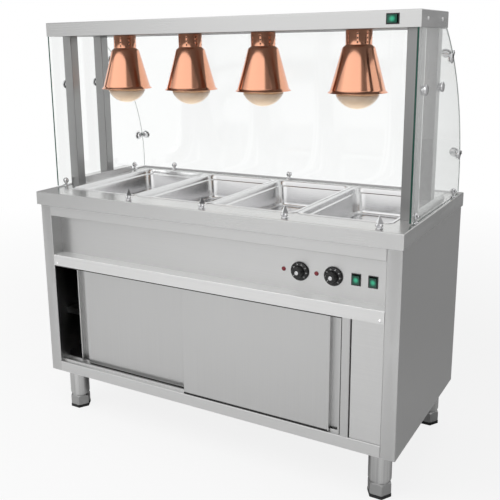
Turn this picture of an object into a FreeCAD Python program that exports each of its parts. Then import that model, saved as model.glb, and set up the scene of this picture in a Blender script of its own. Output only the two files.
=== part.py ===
"""Heated bain-marie counter: four-pan wet well over a hot cupboard, with a glazed heat-lamp gantry.

Frame: origin on the floor under the middle of the worktop, +X right, -Y the operator's side with
doors and controls, +Y the customer's side with the curved glass, +Z up, millimetres.
"""
import FreeCAD, Part
import Sketcher
import math
import os

SIZES = {
    # worktop
    "top_length": 1450, "top_depth": 700, "apron_height": 50, "top_sheet": 1.5,
    "top_edge_radius": 3,
    "side_overhang": 5, "front_overhang": 15, "back_overhang": 5,
    # cabinet, stacked from the floor up
    "leg_height": 175, "sill_height": 41, "doorway_height": 406, "ledge_height": 43,
    "fascia_height": 156, "top_rail_height": 44,
    "panel_sheet": 1.5, "bend_radius": 3, "stile_width": 50, "recess_depth": 52,
    "sill_depth": 65, "floor_flange": 95,
    "divider_face": 27, "divider_joint": 3, "service_width": 105, "service_setback": 4, "fold_depth": 14,
    "plug_inset": 14, "plug_lift": 10, "plug_radius": 5, "plug_height": 2,
    # sliding doors on their track
    "door_width": 606, "door_depth": 22, "door_sheet": 1.2, "door_setback": 5, "door_spacing": 11,
    "door_lift": 2, "door_overlap": 13, "door_play": 4, "door_ajar": 75, "door_edge_radius": 2,
    "pull_width": 32, "pull_lip": 6, "pull_depth": 20,
    "fin_sheet": 2, "fin_height": 8, "fin_clearance": 3,
    "track_height": 22, "track_wall": 2, "lane_width": 24, "lane_slot": 12,
    "glide_length": 60, "glide_height": 11, "glide_inset": 80, "glide_side_play": 1, "glide_neck": 6,
    "running_gap": 0.3,
    # pans and wet well
    "pan_count": 4, "pan_length": 530, "pan_width": 325, "pan_pitch": 329, "pan_depth": 100,
    "pan_rim": 11, "pan_sheet": 1, "pan_corner": 22, "pan_body_corner": 34, "pan_floor_radius": 14,
    "pan_step": 3, "pan_step_drop": 20,
    "pan_setback": 16, "rim_overlap": 10,
    "well_margin": 4, "well_depth": 158, "well_sheet": 1.5, "well_flange": 15,
    "bar_width": 20, "bar_height": 20,
    # tubular elements
    "element_radius": 4.25, "element_pitch": 96, "element_lift": 18, "element_side_gap": 85,
    "terminal_length": 24, "cupboard_element_lift": 22, "cupboard_element_pitch": 110,
    # drain
    "drain_inset": 200, "drain_setback": 170, "drain_radius": 13.5, "drain_wall": 2, "drain_length": 120,
    "valve_radius": 22, "valve_height": 44, "valve_drop": 46, "stem_radius": 5, "stem_length": 16,
    "lever_length": 95, "lever_width": 16, "lever_sheet": 4, "lever_hub": 12,
    # shelf
    "shelf_lift": 193, "shelf_edge": 25, "shelf_front_gap": 50, "shelf_gap": 2.5,
    "bracket_length": 40, "bracket_leg": 18, "bracket_sheet": 2, "bracket_inset": 90,
    # controls
    "control_lift": 69, "switch_edge": 56.5, "switch_pitch": 55.5, "knob_to_switch": 76,
    "knob_pitch": 117, "pilot_lead": 58.5,
    "knob_radius": 32, "skirt_height": 6, "grip_radius": 19, "grip_end_radius": 16.5, "knob_height": 29,
    "knob_edge_radius": 1.5, "knob_cap_radius": 6.5, "knob_cap_depth": 1,
    "spindle_radius": 3, "spindle_depth": 14, "spindle_fit": 0.05, "bush_radius": 5, "bush_wall_gap": 0.2,
    "thermostat_width": 38, "thermostat_depth": 32,
    "pilot_radius": 7.5, "pilot_dome": 4, "pilot_rim": 1, "pilot_crown": 3.4, "pilot_crown_radius": 3.8,
    "pilot_body_radius": 6.5, "pilot_length": 26,
    "bezel_width": 31, "bezel_height": 39, "bezel_depth": 2.5, "housing_inset": 2, "housing_depth": 28,
    "rocker_side_wall": 3.5, "rocker_end_wall": 2.5, "rocker_gap": 0.5, "rocker_end_gap": 1.6,
    "rocker_depth": 7, "rocker_rise": 2.2, "rocker_pivot": 4, "rocker_well": 13, "rocker_tilt": 8,
    "rocker_taper": 3.3, "pivot_radius": 1.5, "pivot_length": 1.3, "pivot_gap": 0.2,
    # gantry
    "gantry_height": 630, "beam_height": 50, "beam_length": 1434, "beam_depth": 286, "beam_setback": 105.5,
    "beam_sheet": 1.5, "beam_switch_inset": 84, "beam_switch_drop": 25,
    "post_inset": 28, "post_width": 40, "post_depth": 40, "post_wall": 1.5, "post_corner": 2,
    "front_post_setback": 170, "post_spacing": 180, "base_rail_height": 30, "base_rail_length": 305,
    "screw_radius": 6, "screw_height": 2.5, "beam_screw_inset": 66,
    # heat lamps
    "lamp_count": 4, "lamp_pitch": 296, "lamp_left_inset": 260, "lamp_right_inset": 240, "lamp_setback": 250,
    "shade_sheet": 1.2, "neck_radius": 42, "neck_height": 48, "shoulder_radius": 52, "shoulder_drop": 8,
    "cone_radius": 89, "shade_height": 197, "rim_radius": 96, "rim_drop": 6,
    "vent_radius": 2.6, "vent_pitch": 13, "vent_drop": 13, "vent_columns": 8, "vent_rows": 3,
    "holder_radius": 24, "holder_height": 46, "bulb_radius": 69, "bulb_cap_radius": 14,
    "bulb_neck_radius": 28, "bulb_cap_height": 30, "bulb_drop": 53, "bulb_flare": 105,
    "bulb_girdle": 8, "bulb_girdle_drop": 10,
    # glass
    "glass_sheet": 6, "glass_inset": 13, "glass_lift": 6, "glass_back_margin": 25, "glass_beam_gap": 11,
    "glass_straight": 45, "glass_hole_gap": 0.5,
    "disc_radius": 17, "back_disc_radius": 13, "disc_height": 5, "disc_bolt_reach": 7.5, "disc_inset": 26,
    "disc_pad": 0.4, "link_width": 12, "disc_bolt_radius": 3,
    "low_connector_lift": 150, "high_connector_lift": 503,
    "standoff_lift": 398, "standoff_radius": 12, "standoff_bolt_radius": 4,
    "cap_radius": 16, "cap_height": 6, "cap_bevel": 2,
    # clips along the worktop
    "clip_radius": 13, "clip_foot": 4, "clip_neck": 6, "clip_ball": 12, "clip_height": 32, "clip_grip": 0.3,
    "catch_radius": 12, "catch_base": 5, "catch_neck": 5, "catch_lobe": 6.5, "catch_head_radius": 13,
    "catch_waist": 10, "catch_girdle": 17, "catch_height": 40,
    "catch_setback": 35, "catch_left_inset": 424, "catch_right_inset": 87,
    "side_clip_front": 45, "side_clip_back": 75, "back_clip_left_inset": 185, "back_clip_right_inset": 125,
    # legs and screw feet
    "leg_side_inset": 77, "leg_front_inset": 92, "leg_back_inset": 48, "leg_radius": 38.5, "leg_wall": 1.5,
    "leg_toe_radius": 35, "leg_toe_height": 10, "leg_plate": 80, "leg_plate_sheet": 3, "leg_plug": 12,
    "foot_flats": 70, "foot_height": 40, "foot_chamfer": 7, "pad_height": 12, "pad_growth": 2,
    "thread_radius": 8, "thread_length": 60, "thread_gap": 0.3,
    # cable gland
    "gland_radius": 11, "gland_cap_radius": 9.4, "gland_tip_radius": 7.7, "gland_height": 14, "gland_bore": 5,
    "gland_inset": 160, "gland_back_gap": 45,
    # one overrun for every cut that runs out of its piece
    "overrun": 5,
}


class Size:
    """A length, with its value in millimetres and the sheet expression that gives it."""

    def __init__(self, value, text):
        self.value = value
        self.text = text

    def __add__(self, other):
        return combine(self, "+", other)

    def __radd__(self, other):
        return combine(other, "+", self)

    def __sub__(self, other):
        return combine(self, "-", other)

    def __rsub__(self, other):
        return combine(other, "-", self)

    def __mul__(self, other):
        return combine(self, "*", other)

    def __rmul__(self, other):
        return combine(other, "*", self)

    def __truediv__(self, other):
        return combine(self, "/", other)

    def __neg__(self):
        return Size(-self.value, "-(%s)" % self.text)

    def __float__(self):
        return float(self.value)


OPERATIONS = {
    "+": lambda left, right: left + right,
    "-": lambda left, right: left - right,
    "*": lambda left, right: left * right,
    "/": lambda left, right: left / right,
}


def as_size(item):
    return item if isinstance(item, Size) else Size(float(item), "%.10g" % item)


def combine(left, sign, right):
    left = as_size(left)
    right = as_size(right)
    return Size(OPERATIONS[sign](left.value, right.value), "(%s %s %s)" % (left.text, sign, right.text))


def root(size):
    return Size(math.sqrt(size.value), "sqrt(%s)" % size.text)


doc = FreeCAD.newDocument("counter")
sheet = doc.addObject("Spreadsheet::Sheet", "Sizes")


class Sheet:
    """The driving and derived sizes by name; a new attribute becomes a formula cell."""

    def __init__(self, sizes):
        self.__dict__["row"] = 0
        for name, value in sizes.items():
            self.write(name, "%.10g" % value, value)

    def write(self, name, content, value):
        self.__dict__["row"] += 1
        cell = "A%d" % self.row
        sheet.set(cell, content)
        sheet.setAlias(cell, name)
        self.__dict__[name] = Size(value, "Sizes." + name)

    def __setattr__(self, name, size):
        self.write(name, "=" + size.text.replace("Sizes.", ""), size.value)


s = Sheet(SIZES)
nodes = []


def bind(thing, name, size):
    """Ties a property to its expression."""
    thing.setExpression(name, as_size(size).text)


def place(thing, at, axis=(0, 0, 1), angle=0):
    """Puts a piece at a point, turned about an axis by an angle in degrees."""
    base = FreeCAD.Vector(*[float(size) for size in at])
    turn = FreeCAD.Rotation(FreeCAD.Vector(*axis), float(angle))
    thing.Placement = FreeCAD.Placement(base, turn)
    for letter, size in zip("xyz", at):
        bind(thing, "Placement.Base." + letter, size)
    if isinstance(angle, Size):
        bind(thing, "Placement.Rotation.Angle", angle)
    return thing


def node(thing, label):
    """Names a finished sub-part."""
    thing.Label = label
    nodes.append(thing)
    return thing


def box(low, extent):
    """A block from its low corner."""
    thing = doc.addObject("Part::Box", "Block")
    for name, size in zip(("Length", "Width", "Height"), extent):
        bind(thing, name, size)
    return place(thing, low)


def span(low, high):
    """A block between two corners."""
    return box(low, [end - start for start, end in zip(low, high)])


TURNS = {"+X": ((0, 1, 0), 90), "-X": ((0, 1, 0), -90), "+Y": ((1, 0, 0), -90), "-Y": ((1, 0, 0), 90),
         "+Z": ((0, 0, 1), 0), "-Z": ((1, 0, 0), 180)}


def rod(start, radius, length, way="+Z"):
    """A round bar from the middle of one end."""
    thing = doc.addObject("Part::Cylinder", "Rod")
    bind(thing, "Radius", radius)
    bind(thing, "Height", length)
    return place(thing, start, *TURNS[way])


def taper(start, radius, end_radius, length, way="+Z"):
    """A cone frustum from the middle of one end."""
    thing = doc.addObject("Part::Cone", "Taper")
    bind(thing, "Radius1", radius)
    bind(thing, "Radius2", end_radius)
    bind(thing, "Height", length)
    return place(thing, start, *TURNS[way])


def ball(centre, radius):
    thing = doc.addObject("Part::Sphere", "Ball")
    bind(thing, "Radius", radius)
    return place(thing, centre)


def fuse(things):
    thing = doc.addObject("Part::MultiFuse", "Union")
    thing.Shapes = things
    return thing


def cut(base, tools):
    """The base without its tools."""
    thing = doc.addObject("Part::Cut", "Cut")
    thing.Base = base
    thing.Tool = tools[0] if len(tools) == 1 else fuse(tools)
    return thing


def group(things):
    """Separate solids under one name."""
    thing = doc.addObject("Part::Compound", "Group")
    thing.Links = things
    return thing


def soften(base, radius, chosen):
    """Rounds the edges of a piece that pass a test on their two end points."""
    doc.recompute()
    thing = doc.addObject("Part::Fillet", "Fillet")
    thing.Base = base
    numbers = []
    for number, edge in enumerate(base.Shape.Edges, 1):
        if all(chosen(vertex.Point) for vertex in edge.Vertexes):
            numbers.append(number)
    thing.Edges = [(number, float(radius), float(radius)) for number in numbers]
    return thing


def near(value, size):
    return abs(value - float(size)) < float(s.running_gap)


def outline(body, plane, corners):
    """A closed dimensioned sketch: corners as (across, up), with an arc's radius before its end corner."""
    sketch = body.newObject("Sketcher::SketchObject", "Outline")
    datum = [item for item in body.Origin.OriginFeatures if item.Role == plane][0]
    sketch.AttachmentSupport = [(datum, "")]
    sketch.MapMode = "FlatFace"
    points = [FreeCAD.Vector(float(corner[0]), float(corner[1]), 0) for corner in corners]
    for number, corner in enumerate(corners):
        start = points[number]
        end = points[(number + 1) % len(corners)]
        radius = corners[(number + 1) % len(corners)][2:]
        if radius:
            sketch.addGeometry(bow(start, end, float(radius[0])), False)
        else:
            sketch.addGeometry(Part.LineSegment(start, end), False)
    clockwise = [len(corner) > 2 and float(corner[2]) < 0 for corner in corners[1:] + corners[:1]]
    for number, corner in enumerate(corners):
        follower = (number + 1) % len(corners)
        start = 2 if clockwise[number] else 1
        tip = 1 if clockwise[number] else 2
        next_start = 2 if clockwise[follower] else 1
        sketch.addConstraint(Sketcher.Constraint("Coincident", number, tip, follower, next_start))
        pin_corner(sketch, number, start, corner)
        radius = corners[follower][2:]
        if radius:
            index = sketch.addConstraint(Sketcher.Constraint("Radius", number, abs(float(radius[0]))))
            bind(sketch, "Constraints[%d]" % index, radius[0] if float(radius[0]) > 0 else -radius[0])
    return sketch


def pin_corner(sketch, number, end, corner):
    """Dimensions one end of an edge from the sketch's two axes."""
    for kind, axis, size in (("DistanceX", -2, corner[0]), ("DistanceY", -1, corner[1])):
        if float(size) == 0:
            sketch.addConstraint(Sketcher.Constraint("PointOnObject", number, end, axis))
        else:
            index = sketch.addConstraint(Sketcher.Constraint(kind, -1, 1, number, end, float(size)))
            bind(sketch, "Constraints[%d]" % index, size)


def bow(start, end, radius):
    """An arc from start to end that turns left about its centre, or right where the radius is negative."""
    middle = (start + end) * 0.5
    chord = end - start
    rise = math.sqrt(max(radius * radius - chord.Length * chord.Length / 4, 0))
    normal = FreeCAD.Vector(-chord.y, chord.x, 0).normalize()
    centre = middle + normal * math.copysign(rise, radius)
    outward = (middle - centre).normalize()
    return Part.Arc(start, centre + outward * abs(radius), end)


def extruded(plane, corners, length, at=(0, 0, 0)):
    """A sketch padded along its plane's normal."""
    body = doc.addObject("PartDesign::Body", "Body")
    sketch = outline(body, plane, corners)
    pad = body.newObject("PartDesign::Pad", "Pad")
    pad.Profile = sketch
    bind(pad, "Length", length)
    sketch.Visibility = False
    return place(body, at)


def turned(corners, at=(0, 0, 0), axis=(0, 0, 1), angle=0):
    """A sketch of radius and height, revolved about the height axis."""
    body = doc.addObject("PartDesign::Body", "Body")
    sketch = outline(body, "XZ_Plane", corners)
    spin = body.newObject("PartDesign::Revolution", "Revolution")
    spin.Profile = sketch
    spin.ReferenceAxis = (sketch, ["V_Axis"])
    spin.Angle = 360
    return place(body, at, axis, angle)


def derive_sizes():
    """Levels and faces that several pieces share."""
    s.sill_z = s.leg_height + s.sill_height
    s.head_z = s.sill_z + s.doorway_height
    s.ledge_z = s.head_z + s.ledge_height
    s.brow_z = s.ledge_z + s.fascia_height
    s.apron_z = s.brow_z + s.top_rail_height
    s.top_z = s.apron_z + s.apron_height
    s.under_z = s.top_z - s.top_sheet
    s.bend_inside = s.bend_radius - s.panel_sheet
    s.half_length = s.top_length / 2
    s.half_depth = s.top_depth / 2
    s.body_x = s.half_length - s.side_overhang
    s.wall_x = s.body_x - s.panel_sheet
    s.inner_x = s.body_x - s.stile_width
    s.front_y = -(s.half_depth - s.front_overhang)
    s.back_y = s.half_depth - s.back_overhang
    s.back_wall_y = s.back_y - s.panel_sheet
    s.fascia_y = s.front_y + s.recess_depth
    s.fascia_back_y = s.fascia_y + s.panel_sheet
    s.sill_back_y = s.front_y + s.sill_depth
    s.divider_right_x = s.inner_x - s.service_width - s.divider_joint
    s.divider_left_x = s.divider_right_x - s.divider_face
    s.pan_row = (s.pan_count - 1) * s.pan_pitch + s.pan_width
    s.aperture_x = s.pan_row / 2 - s.rim_overlap
    s.aperture_y = s.pan_length / 2 - s.rim_overlap
    s.well_x = s.aperture_x + s.well_margin
    s.well_front_y = s.pan_setback - s.aperture_y - s.well_margin
    s.well_back_y = s.pan_setback + s.aperture_y + s.well_margin
    s.well_z = s.under_z - s.well_depth
    s.beam_z = s.top_z + s.gantry_height - s.beam_height
    s.beam_front_y = -s.half_depth + s.beam_setback
    s.beam_back_y = s.beam_front_y + s.beam_depth
    s.glass_x = s.half_length - s.glass_inset
    s.glass_back_y = s.half_depth - s.glass_back_margin
    s.glass_top_z = s.beam_z - s.running_gap
    s.glass_low_z = s.top_z + s.glass_lift
    s.arc_z = s.top_z + s.glass_straight
    glass_run = s.glass_back_y - s.beam_back_y - s.glass_beam_gap
    glass_rise = s.glass_top_z - s.arc_z
    s.glass_radius = (glass_run * glass_run + glass_rise * glass_rise) / (glass_run * 2)
    s.arc_y = s.glass_back_y - s.glass_radius
    s.door_z = s.sill_z + s.door_lift
    s.door_height = s.doorway_height + s.door_overlap - s.door_lift
    s.front_lane_y = s.front_y + s.door_setback + s.door_depth / 2
    s.back_lane_y = s.front_lane_y + s.door_depth + s.door_spacing
    s.control_z = s.ledge_z + s.control_lift
    s.post_x = s.half_length - s.post_inset - s.post_width
    s.front_post_y = -s.half_depth + s.front_post_setback
    s.rear_post_y = s.front_post_y + s.post_spacing
    s.shelf_z = s.sill_z + s.shelf_lift
    s.foot_z = s.pad_height + s.foot_height


def worktop():
    """Folded top: skin, hemmed apron on four sides and one aperture for the row of pans."""
    blank = span((-s.half_length, -s.half_depth, s.apron_z), (s.half_length, s.half_depth, s.top_z))
    blank = soften(blank, s.top_edge_radius, lambda point: near(point.z, s.top_z))
    inner_x = s.half_length - s.top_sheet
    inner_y = s.half_depth - s.top_sheet
    hollow = span((-inner_x, -inner_y, s.apron_z - s.overrun), (inner_x, inner_y, s.under_z))
    aperture = span((-s.aperture_x, s.pan_setback - s.aperture_y, s.under_z - s.overrun),
                    (s.aperture_x, s.pan_setback + s.aperture_y, s.top_z + s.overrun))
    aperture = upright_edges(aperture, s.pan_corner - s.rim_overlap)
    node(cut(blank, [hollow, aperture]), "worktop")


def side_panels():
    """Each side is one sheet, folded at the front into the stile and its return."""
    for label, hand in (("side_panel_left", -1), ("side_panel_right", 1)):
        outer = s.body_x * hand
        inner = s.wall_x * hand
        stile = s.inner_x * hand
        hidden = (s.inner_x + s.panel_sheet) * hand
        face = s.front_y + s.panel_sheet
        bend = s.bend_radius * hand
        fold = s.bend_inside * hand
        corners = [
            (outer, s.back_y), (outer, s.front_y + s.bend_radius), (outer - bend, s.front_y, -bend),
            (stile + bend, s.front_y), (stile, s.front_y + s.bend_radius, -bend), (stile, s.fascia_back_y),
            (hidden, s.fascia_back_y), (hidden, face + s.bend_inside), (hidden + fold, face, fold),
            (inner - fold, face), (inner, face + s.bend_inside, fold), (inner, s.back_y),
        ]
        panel = extruded("XY_Plane", corners, s.under_z - s.leg_height, (0, 0, s.leg_height))
        node(panel, label)


def rear_panel():
    node(span((-s.wall_x, s.back_wall_y, s.leg_height), (s.wall_x, s.back_y, s.under_z)), "rear_panel")


def along_x(corners, low, high, label):
    """A folded strip: a section in Y and Z, run from low to high."""
    node(extruded("YZ_Plane", corners, high - low, (low, 0, 0)), label)


def bottom_rail():
    """Front sill with two upstanding fins that guide the doors."""
    face = s.front_y + s.panel_sheet
    floor = s.sill_z - s.panel_sheet
    corners = [(s.front_y, s.leg_height), (s.front_y, s.sill_z - s.bend_radius),
               (s.front_y + s.bend_radius, s.sill_z, -s.bend_radius)]
    for lane in (s.front_lane_y, s.back_lane_y):
        near_side = lane - s.fin_sheet / 2
        far_side = lane + s.fin_sheet / 2
        fin_z = s.sill_z + s.fin_height
        corners += [(near_side, s.sill_z), (near_side, fin_z), (far_side, fin_z), (far_side, s.sill_z)]
    corners += [
        (s.sill_back_y, s.sill_z), (s.sill_back_y, s.leg_height),
        (s.sill_back_y - s.panel_sheet, s.leg_height), (s.sill_back_y - s.panel_sheet, floor),
        (face + s.bend_inside, floor), (face, floor - s.bend_inside, s.bend_inside), (face, s.leg_height),
    ]
    rail = extruded("YZ_Plane", corners, s.inner_x * 2, (-s.inner_x, 0, 0))
    service = span((s.divider_left_x, s.front_y - s.overrun, s.sill_z),
                   (s.inner_x + s.overrun, s.sill_back_y + s.overrun, s.sill_z + s.fin_height + s.overrun))
    node(cut(rail, [service]), "bottom_rail")


def ledge_rail():
    """Rail over the doorway, folded back into the ledge under the controls."""
    face = s.front_y + s.panel_sheet
    shelf = s.ledge_z - s.panel_sheet
    corners = [
        (s.front_y, s.head_z), (s.front_y, s.ledge_z - s.bend_radius),
        (s.front_y + s.bend_radius, s.ledge_z, -s.bend_radius), (s.fascia_back_y, s.ledge_z),
        (s.fascia_back_y, shelf), (face + s.bend_inside, shelf), (face, shelf - s.bend_inside, s.bend_inside),
        (face, s.head_z),
    ]
    along_x(corners, -s.inner_x, s.inner_x, "ledge_rail")


def top_rail():
    """Rail under the worktop's apron, folded back over the controls."""
    face = s.front_y + s.panel_sheet
    shelf = s.brow_z + s.panel_sheet
    corners = [
        (s.front_y, s.under_z), (s.front_y, s.brow_z + s.bend_radius),
        (s.front_y + s.bend_radius, s.brow_z, s.bend_radius), (s.fascia_back_y, s.brow_z),
        (s.fascia_back_y, shelf), (face + s.bend_inside, shelf),
        (face, shelf + s.bend_inside, -s.bend_inside),
        (face, s.under_z),
    ]
    along_x(corners, -s.inner_x, s.inner_x, "top_rail")


def switch_places():
    right = s.inner_x - s.switch_edge
    return [right - s.switch_pitch, right]


def knob_places():
    right = switch_places()[0] - s.knob_to_switch
    return [right - s.knob_pitch, right]


def control_fascia():
    """Set-back sheet with the holes for dials, pilot lights and switches."""
    blank = span((-s.inner_x, s.fascia_y, s.ledge_z), (s.inner_x, s.fascia_back_y, s.brow_z))
    start = s.fascia_y - s.overrun
    through = s.panel_sheet + s.overrun * 2
    holes = []
    for x in knob_places():
        holes.append(rod((x, start, s.control_z), s.bush_radius + s.bush_wall_gap, through, "+Y"))
        holes.append(rod((x - s.pilot_lead, start, s.control_z), s.pilot_body_radius + s.bush_wall_gap,
                         through, "+Y"))
    half_x = s.bezel_width / 2 - s.housing_inset
    half_z = s.bezel_height / 2 - s.housing_inset
    for x in switch_places():
        holes.append(box((x - half_x, start, s.control_z - half_z), (half_x * 2, through, half_z * 2)))
    node(cut(blank, holes), "control_fascia")


def divider_wall():
    """Stile and wall between the hot cupboard and the service space."""
    inner = s.divider_right_x - s.panel_sheet
    face = s.front_y + s.panel_sheet
    corners = [
        (s.divider_left_x, s.front_y), (s.divider_right_x - s.bend_radius, s.front_y),
        (s.divider_right_x, s.front_y + s.bend_radius, s.bend_radius), (s.divider_right_x, s.back_wall_y),
        (inner, s.back_wall_y), (inner, face + s.bend_inside), (inner - s.bend_inside, face, -s.bend_inside),
        (s.divider_left_x, face),
    ]
    wall = extruded("XY_Plane", corners, s.doorway_height, (0, 0, s.sill_z))
    holes = [rod((inner - s.overrun, y, cupboard_element_z()), s.element_radius + s.running_gap,
                 s.panel_sheet + s.overrun * 2, "+X") for y in element_ends(s.cupboard_element_pitch)]
    node(cut(wall, holes), "divider_wall")


def service_panel():
    """Fixed tray in front of the service space."""
    low = (s.divider_right_x + s.divider_joint, s.front_y + s.service_setback, s.sill_z)
    high = (s.inner_x, low[1] + s.fold_depth, s.head_z + s.door_overlap)
    tray = soften(span(low, high), s.door_edge_radius, lambda point: near(point.y, low[1]))
    hollow = span([item + s.panel_sheet for item in low],
                  (high[0] - s.panel_sheet, high[1] + s.overrun, high[2] - s.panel_sheet))
    node(cut(tray, [hollow]), "service_panel")


def cupboard_floor():
    """Inverted tray whose return flanges carry the legs."""
    low = (-s.wall_x, s.sill_back_y, s.leg_height)
    high = (s.wall_x, s.back_wall_y, s.sill_z)
    tray = span(low, high)
    hollow = span([item + s.panel_sheet for item in low], [item - s.panel_sheet for item in high])
    window = span((low[0] + s.floor_flange, low[1] + s.floor_flange, low[2] - s.overrun),
                  (high[0] - s.floor_flange, high[1] - s.floor_flange, low[2] + s.overrun))
    gland = rod((gland_place()[0], gland_place()[1], s.leg_height - s.overrun),
                s.gland_bore, s.overrun * 2)
    node(cut(tray, [hollow, window, gland]), "cupboard_floor")


def gland_place():
    return (s.body_x - s.gland_inset, s.back_y - s.gland_back_gap)


def cable_gland():
    x, y = gland_place()
    top = s.leg_height
    nut = doc.addObject("Part::Prism", "Nut")
    nut.Polygon = 6
    bind(nut, "Circumradius", s.gland_radius)
    bind(nut, "Height", s.gland_height / 2)
    place(nut, (x, y, top - s.gland_height / 2))
    cap = taper((x, y, top - s.gland_height), s.gland_tip_radius, s.gland_cap_radius, s.gland_height / 2)
    bore = rod((x, y, top - s.gland_height - s.overrun), s.gland_bore, s.gland_height + s.overrun)
    node(cut(fuse([nut, cap]), [bore]), "cable_gland")


def rail_screws():
    """Two domed screws at the ends of the ledge rail."""
    return [taper(((s.inner_x - s.plug_inset) * hand, s.front_y, s.head_z + s.plug_lift),
                  s.plug_radius, s.plug_radius - s.plug_height / 2, s.plug_height, "-Y")
            for hand in (-1, 1)]


def beam_screws():
    """Two countersunk-looking screws in each end of the gantry beam."""
    screws = []
    for hand, way in ((-1, "-X"), (1, "+X")):
        for y in (s.beam_front_y + s.beam_screw_inset, s.beam_back_y - s.beam_screw_inset):
            screws.append(taper((s.beam_length / 2 * hand, y, s.beam_z + s.beam_height / 2), s.screw_radius,
                                s.screw_radius - s.screw_height, s.screw_height, way))
    return screws


def door(label, left, lane, pull_hand):
    """Folded door with a full-height pull channel at one edge and a slot that rides its guide fin."""
    front = lane - s.door_depth / 2
    right = left + s.door_width
    top = s.door_z + s.door_height
    back = front + s.door_depth
    blank = span((left, front, s.door_z), (right, back, top))
    blank = soften(blank, s.door_edge_radius, lambda point: near(point.y, front))
    if pull_hand > 0:
        pull_left = right - s.pull_lip - s.pull_width
        hollow_left = left + s.door_sheet
        hollow_right = pull_left - s.door_sheet
    else:
        pull_left = left + s.pull_lip
        hollow_left = pull_left + s.pull_width + s.door_sheet
        hollow_right = right - s.door_sheet
    pull = span((pull_left, front - s.overrun, s.door_z - s.overrun),
                (pull_left + s.pull_width, front + s.pull_depth, top + s.overrun))
    hollow = span((hollow_left, front + s.door_sheet, s.door_z + s.door_sheet),
                  (hollow_right, back + s.overrun, top - s.door_sheet))
    half_slot = s.fin_sheet / 2 + s.fin_clearance
    slot = span((left - s.overrun, lane - half_slot, s.door_z - s.overrun),
                (right + s.overrun, lane + half_slot, s.sill_z + s.fin_height + s.fin_clearance))
    node(cut(blank, [pull, hollow, slot]), label)
    glides = []
    lip_z = s.ledge_z - s.panel_sheet - s.track_height + s.track_wall
    glide_z = lip_z + s.running_gap
    half_width = s.lane_width / 2 - s.glide_side_play
    for start in (left + s.glide_inset, right - s.glide_inset - s.glide_length):
        block = box((start, lane - half_width, glide_z), (s.glide_length, half_width * 2, s.glide_height))
        neck = span((start, lane - s.glide_neck / 2, top),
                    (start + s.glide_length, lane + s.glide_neck / 2, glide_z + s.glide_height / 2))
        glides.append(fuse([block, neck]))
    node(group(glides), label.replace("door", "door_glides"))


def doors():
    right_door_left = s.divider_left_x - s.door_play - s.door_width
    left_door_left = -s.inner_x + s.door_play + s.door_ajar
    door("door_right", right_door_left, s.front_lane_y, 1)
    door("door_left", left_door_left, s.back_lane_y, -1)


def door_track():
    """Two-lane track with inward lips, under the ledge."""
    half = s.lane_width / 2
    top = s.ledge_z - s.panel_sheet
    low = top - s.track_height
    front = s.front_lane_y - half - s.track_wall
    back = s.back_lane_y + half + s.track_wall
    blank = span((-s.inner_x, front, low), (s.divider_left_x, back, top))
    blank = soften(blank, s.bend_inside, lambda point: near(point.y, front) and near(point.z, top))
    tools = []
    for lane in (s.front_lane_y, s.back_lane_y):
        tools.append(span((-s.inner_x - s.overrun, lane - half, low + s.track_wall),
                          (s.divider_left_x + s.overrun, lane + half, top - s.track_wall)))
        tools.append(span((-s.inner_x - s.overrun, lane - s.lane_slot / 2, low - s.overrun),
                          (s.divider_left_x + s.overrun, lane + s.lane_slot / 2, low + s.track_wall * 2)))
    node(cut(blank, tools), "door_track")


def pan_centres():
    first = -(s.pan_count - 1) / 2
    return [(first + number) * s.pan_pitch for number in range(SIZES["pan_count"])]


def upright_edges(base, radius):
    """Rounds the upright edges of a block."""
    doc.recompute()
    thing = doc.addObject("Part::Fillet", "Fillet")
    thing.Base = base
    chosen = []
    for number, edge in enumerate(base.Shape.Edges, 1):
        ends = [vertex.Point for vertex in edge.Vertexes]
        if len(ends) == 2 and near(ends[0].x, ends[1].x) and near(ends[0].y, ends[1].y):
            chosen.append((number, float(radius), float(radius)))
    thing.Edges = chosen
    return thing


def floor_edges(base, radius, level):
    """Rounds the edges that lie in one level."""
    return soften(base, radius, lambda point: near(point.z, level))


def pan_block(centre, inset, low, high):
    """An upright block with rounded corners, a distance in from a pan's rim."""
    half_x = s.pan_width / 2 - inset
    half_y = s.pan_length / 2 - inset
    block = span((centre - half_x, s.pan_setback - half_y, low),
                 (centre + half_x, s.pan_setback + half_y, high))
    return upright_edges(block, s.pan_body_corner + s.pan_rim - inset)


def pans():
    """Full-size gastronorm pans: a rim on the worktop, a stacking step and a rounded body in the well."""
    half_x = s.pan_width / 2
    half_y = s.pan_length / 2
    low_z = s.top_z - s.pan_depth
    step_z = s.top_z - s.pan_step_drop
    high_z = s.top_z + s.pan_sheet
    inner_z = low_z + s.pan_sheet
    for number, centre in enumerate(pan_centres(), 1):
        rim = span((centre - half_x, s.pan_setback - half_y, s.top_z),
                   (centre + half_x, s.pan_setback + half_y, high_z))
        rim = upright_edges(rim, s.pan_corner)
        band = pan_block(centre, s.pan_rim, step_z, high_z)
        body = pan_block(centre, s.pan_rim + s.pan_step, low_z, high_z)
        body = floor_edges(body, s.pan_floor_radius, low_z)
        band_hollow = pan_block(centre, s.pan_rim + s.pan_sheet, step_z + s.pan_sheet, high_z + s.overrun)
        hollow = pan_block(centre, s.pan_rim + s.pan_step + s.pan_sheet, inner_z, high_z + s.overrun)
        hollow = floor_edges(hollow, s.pan_floor_radius - s.pan_sheet, inner_z)
        node(cut(fuse([rim, band, body]), [band_hollow, hollow]), "pan_%d" % number)


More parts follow.
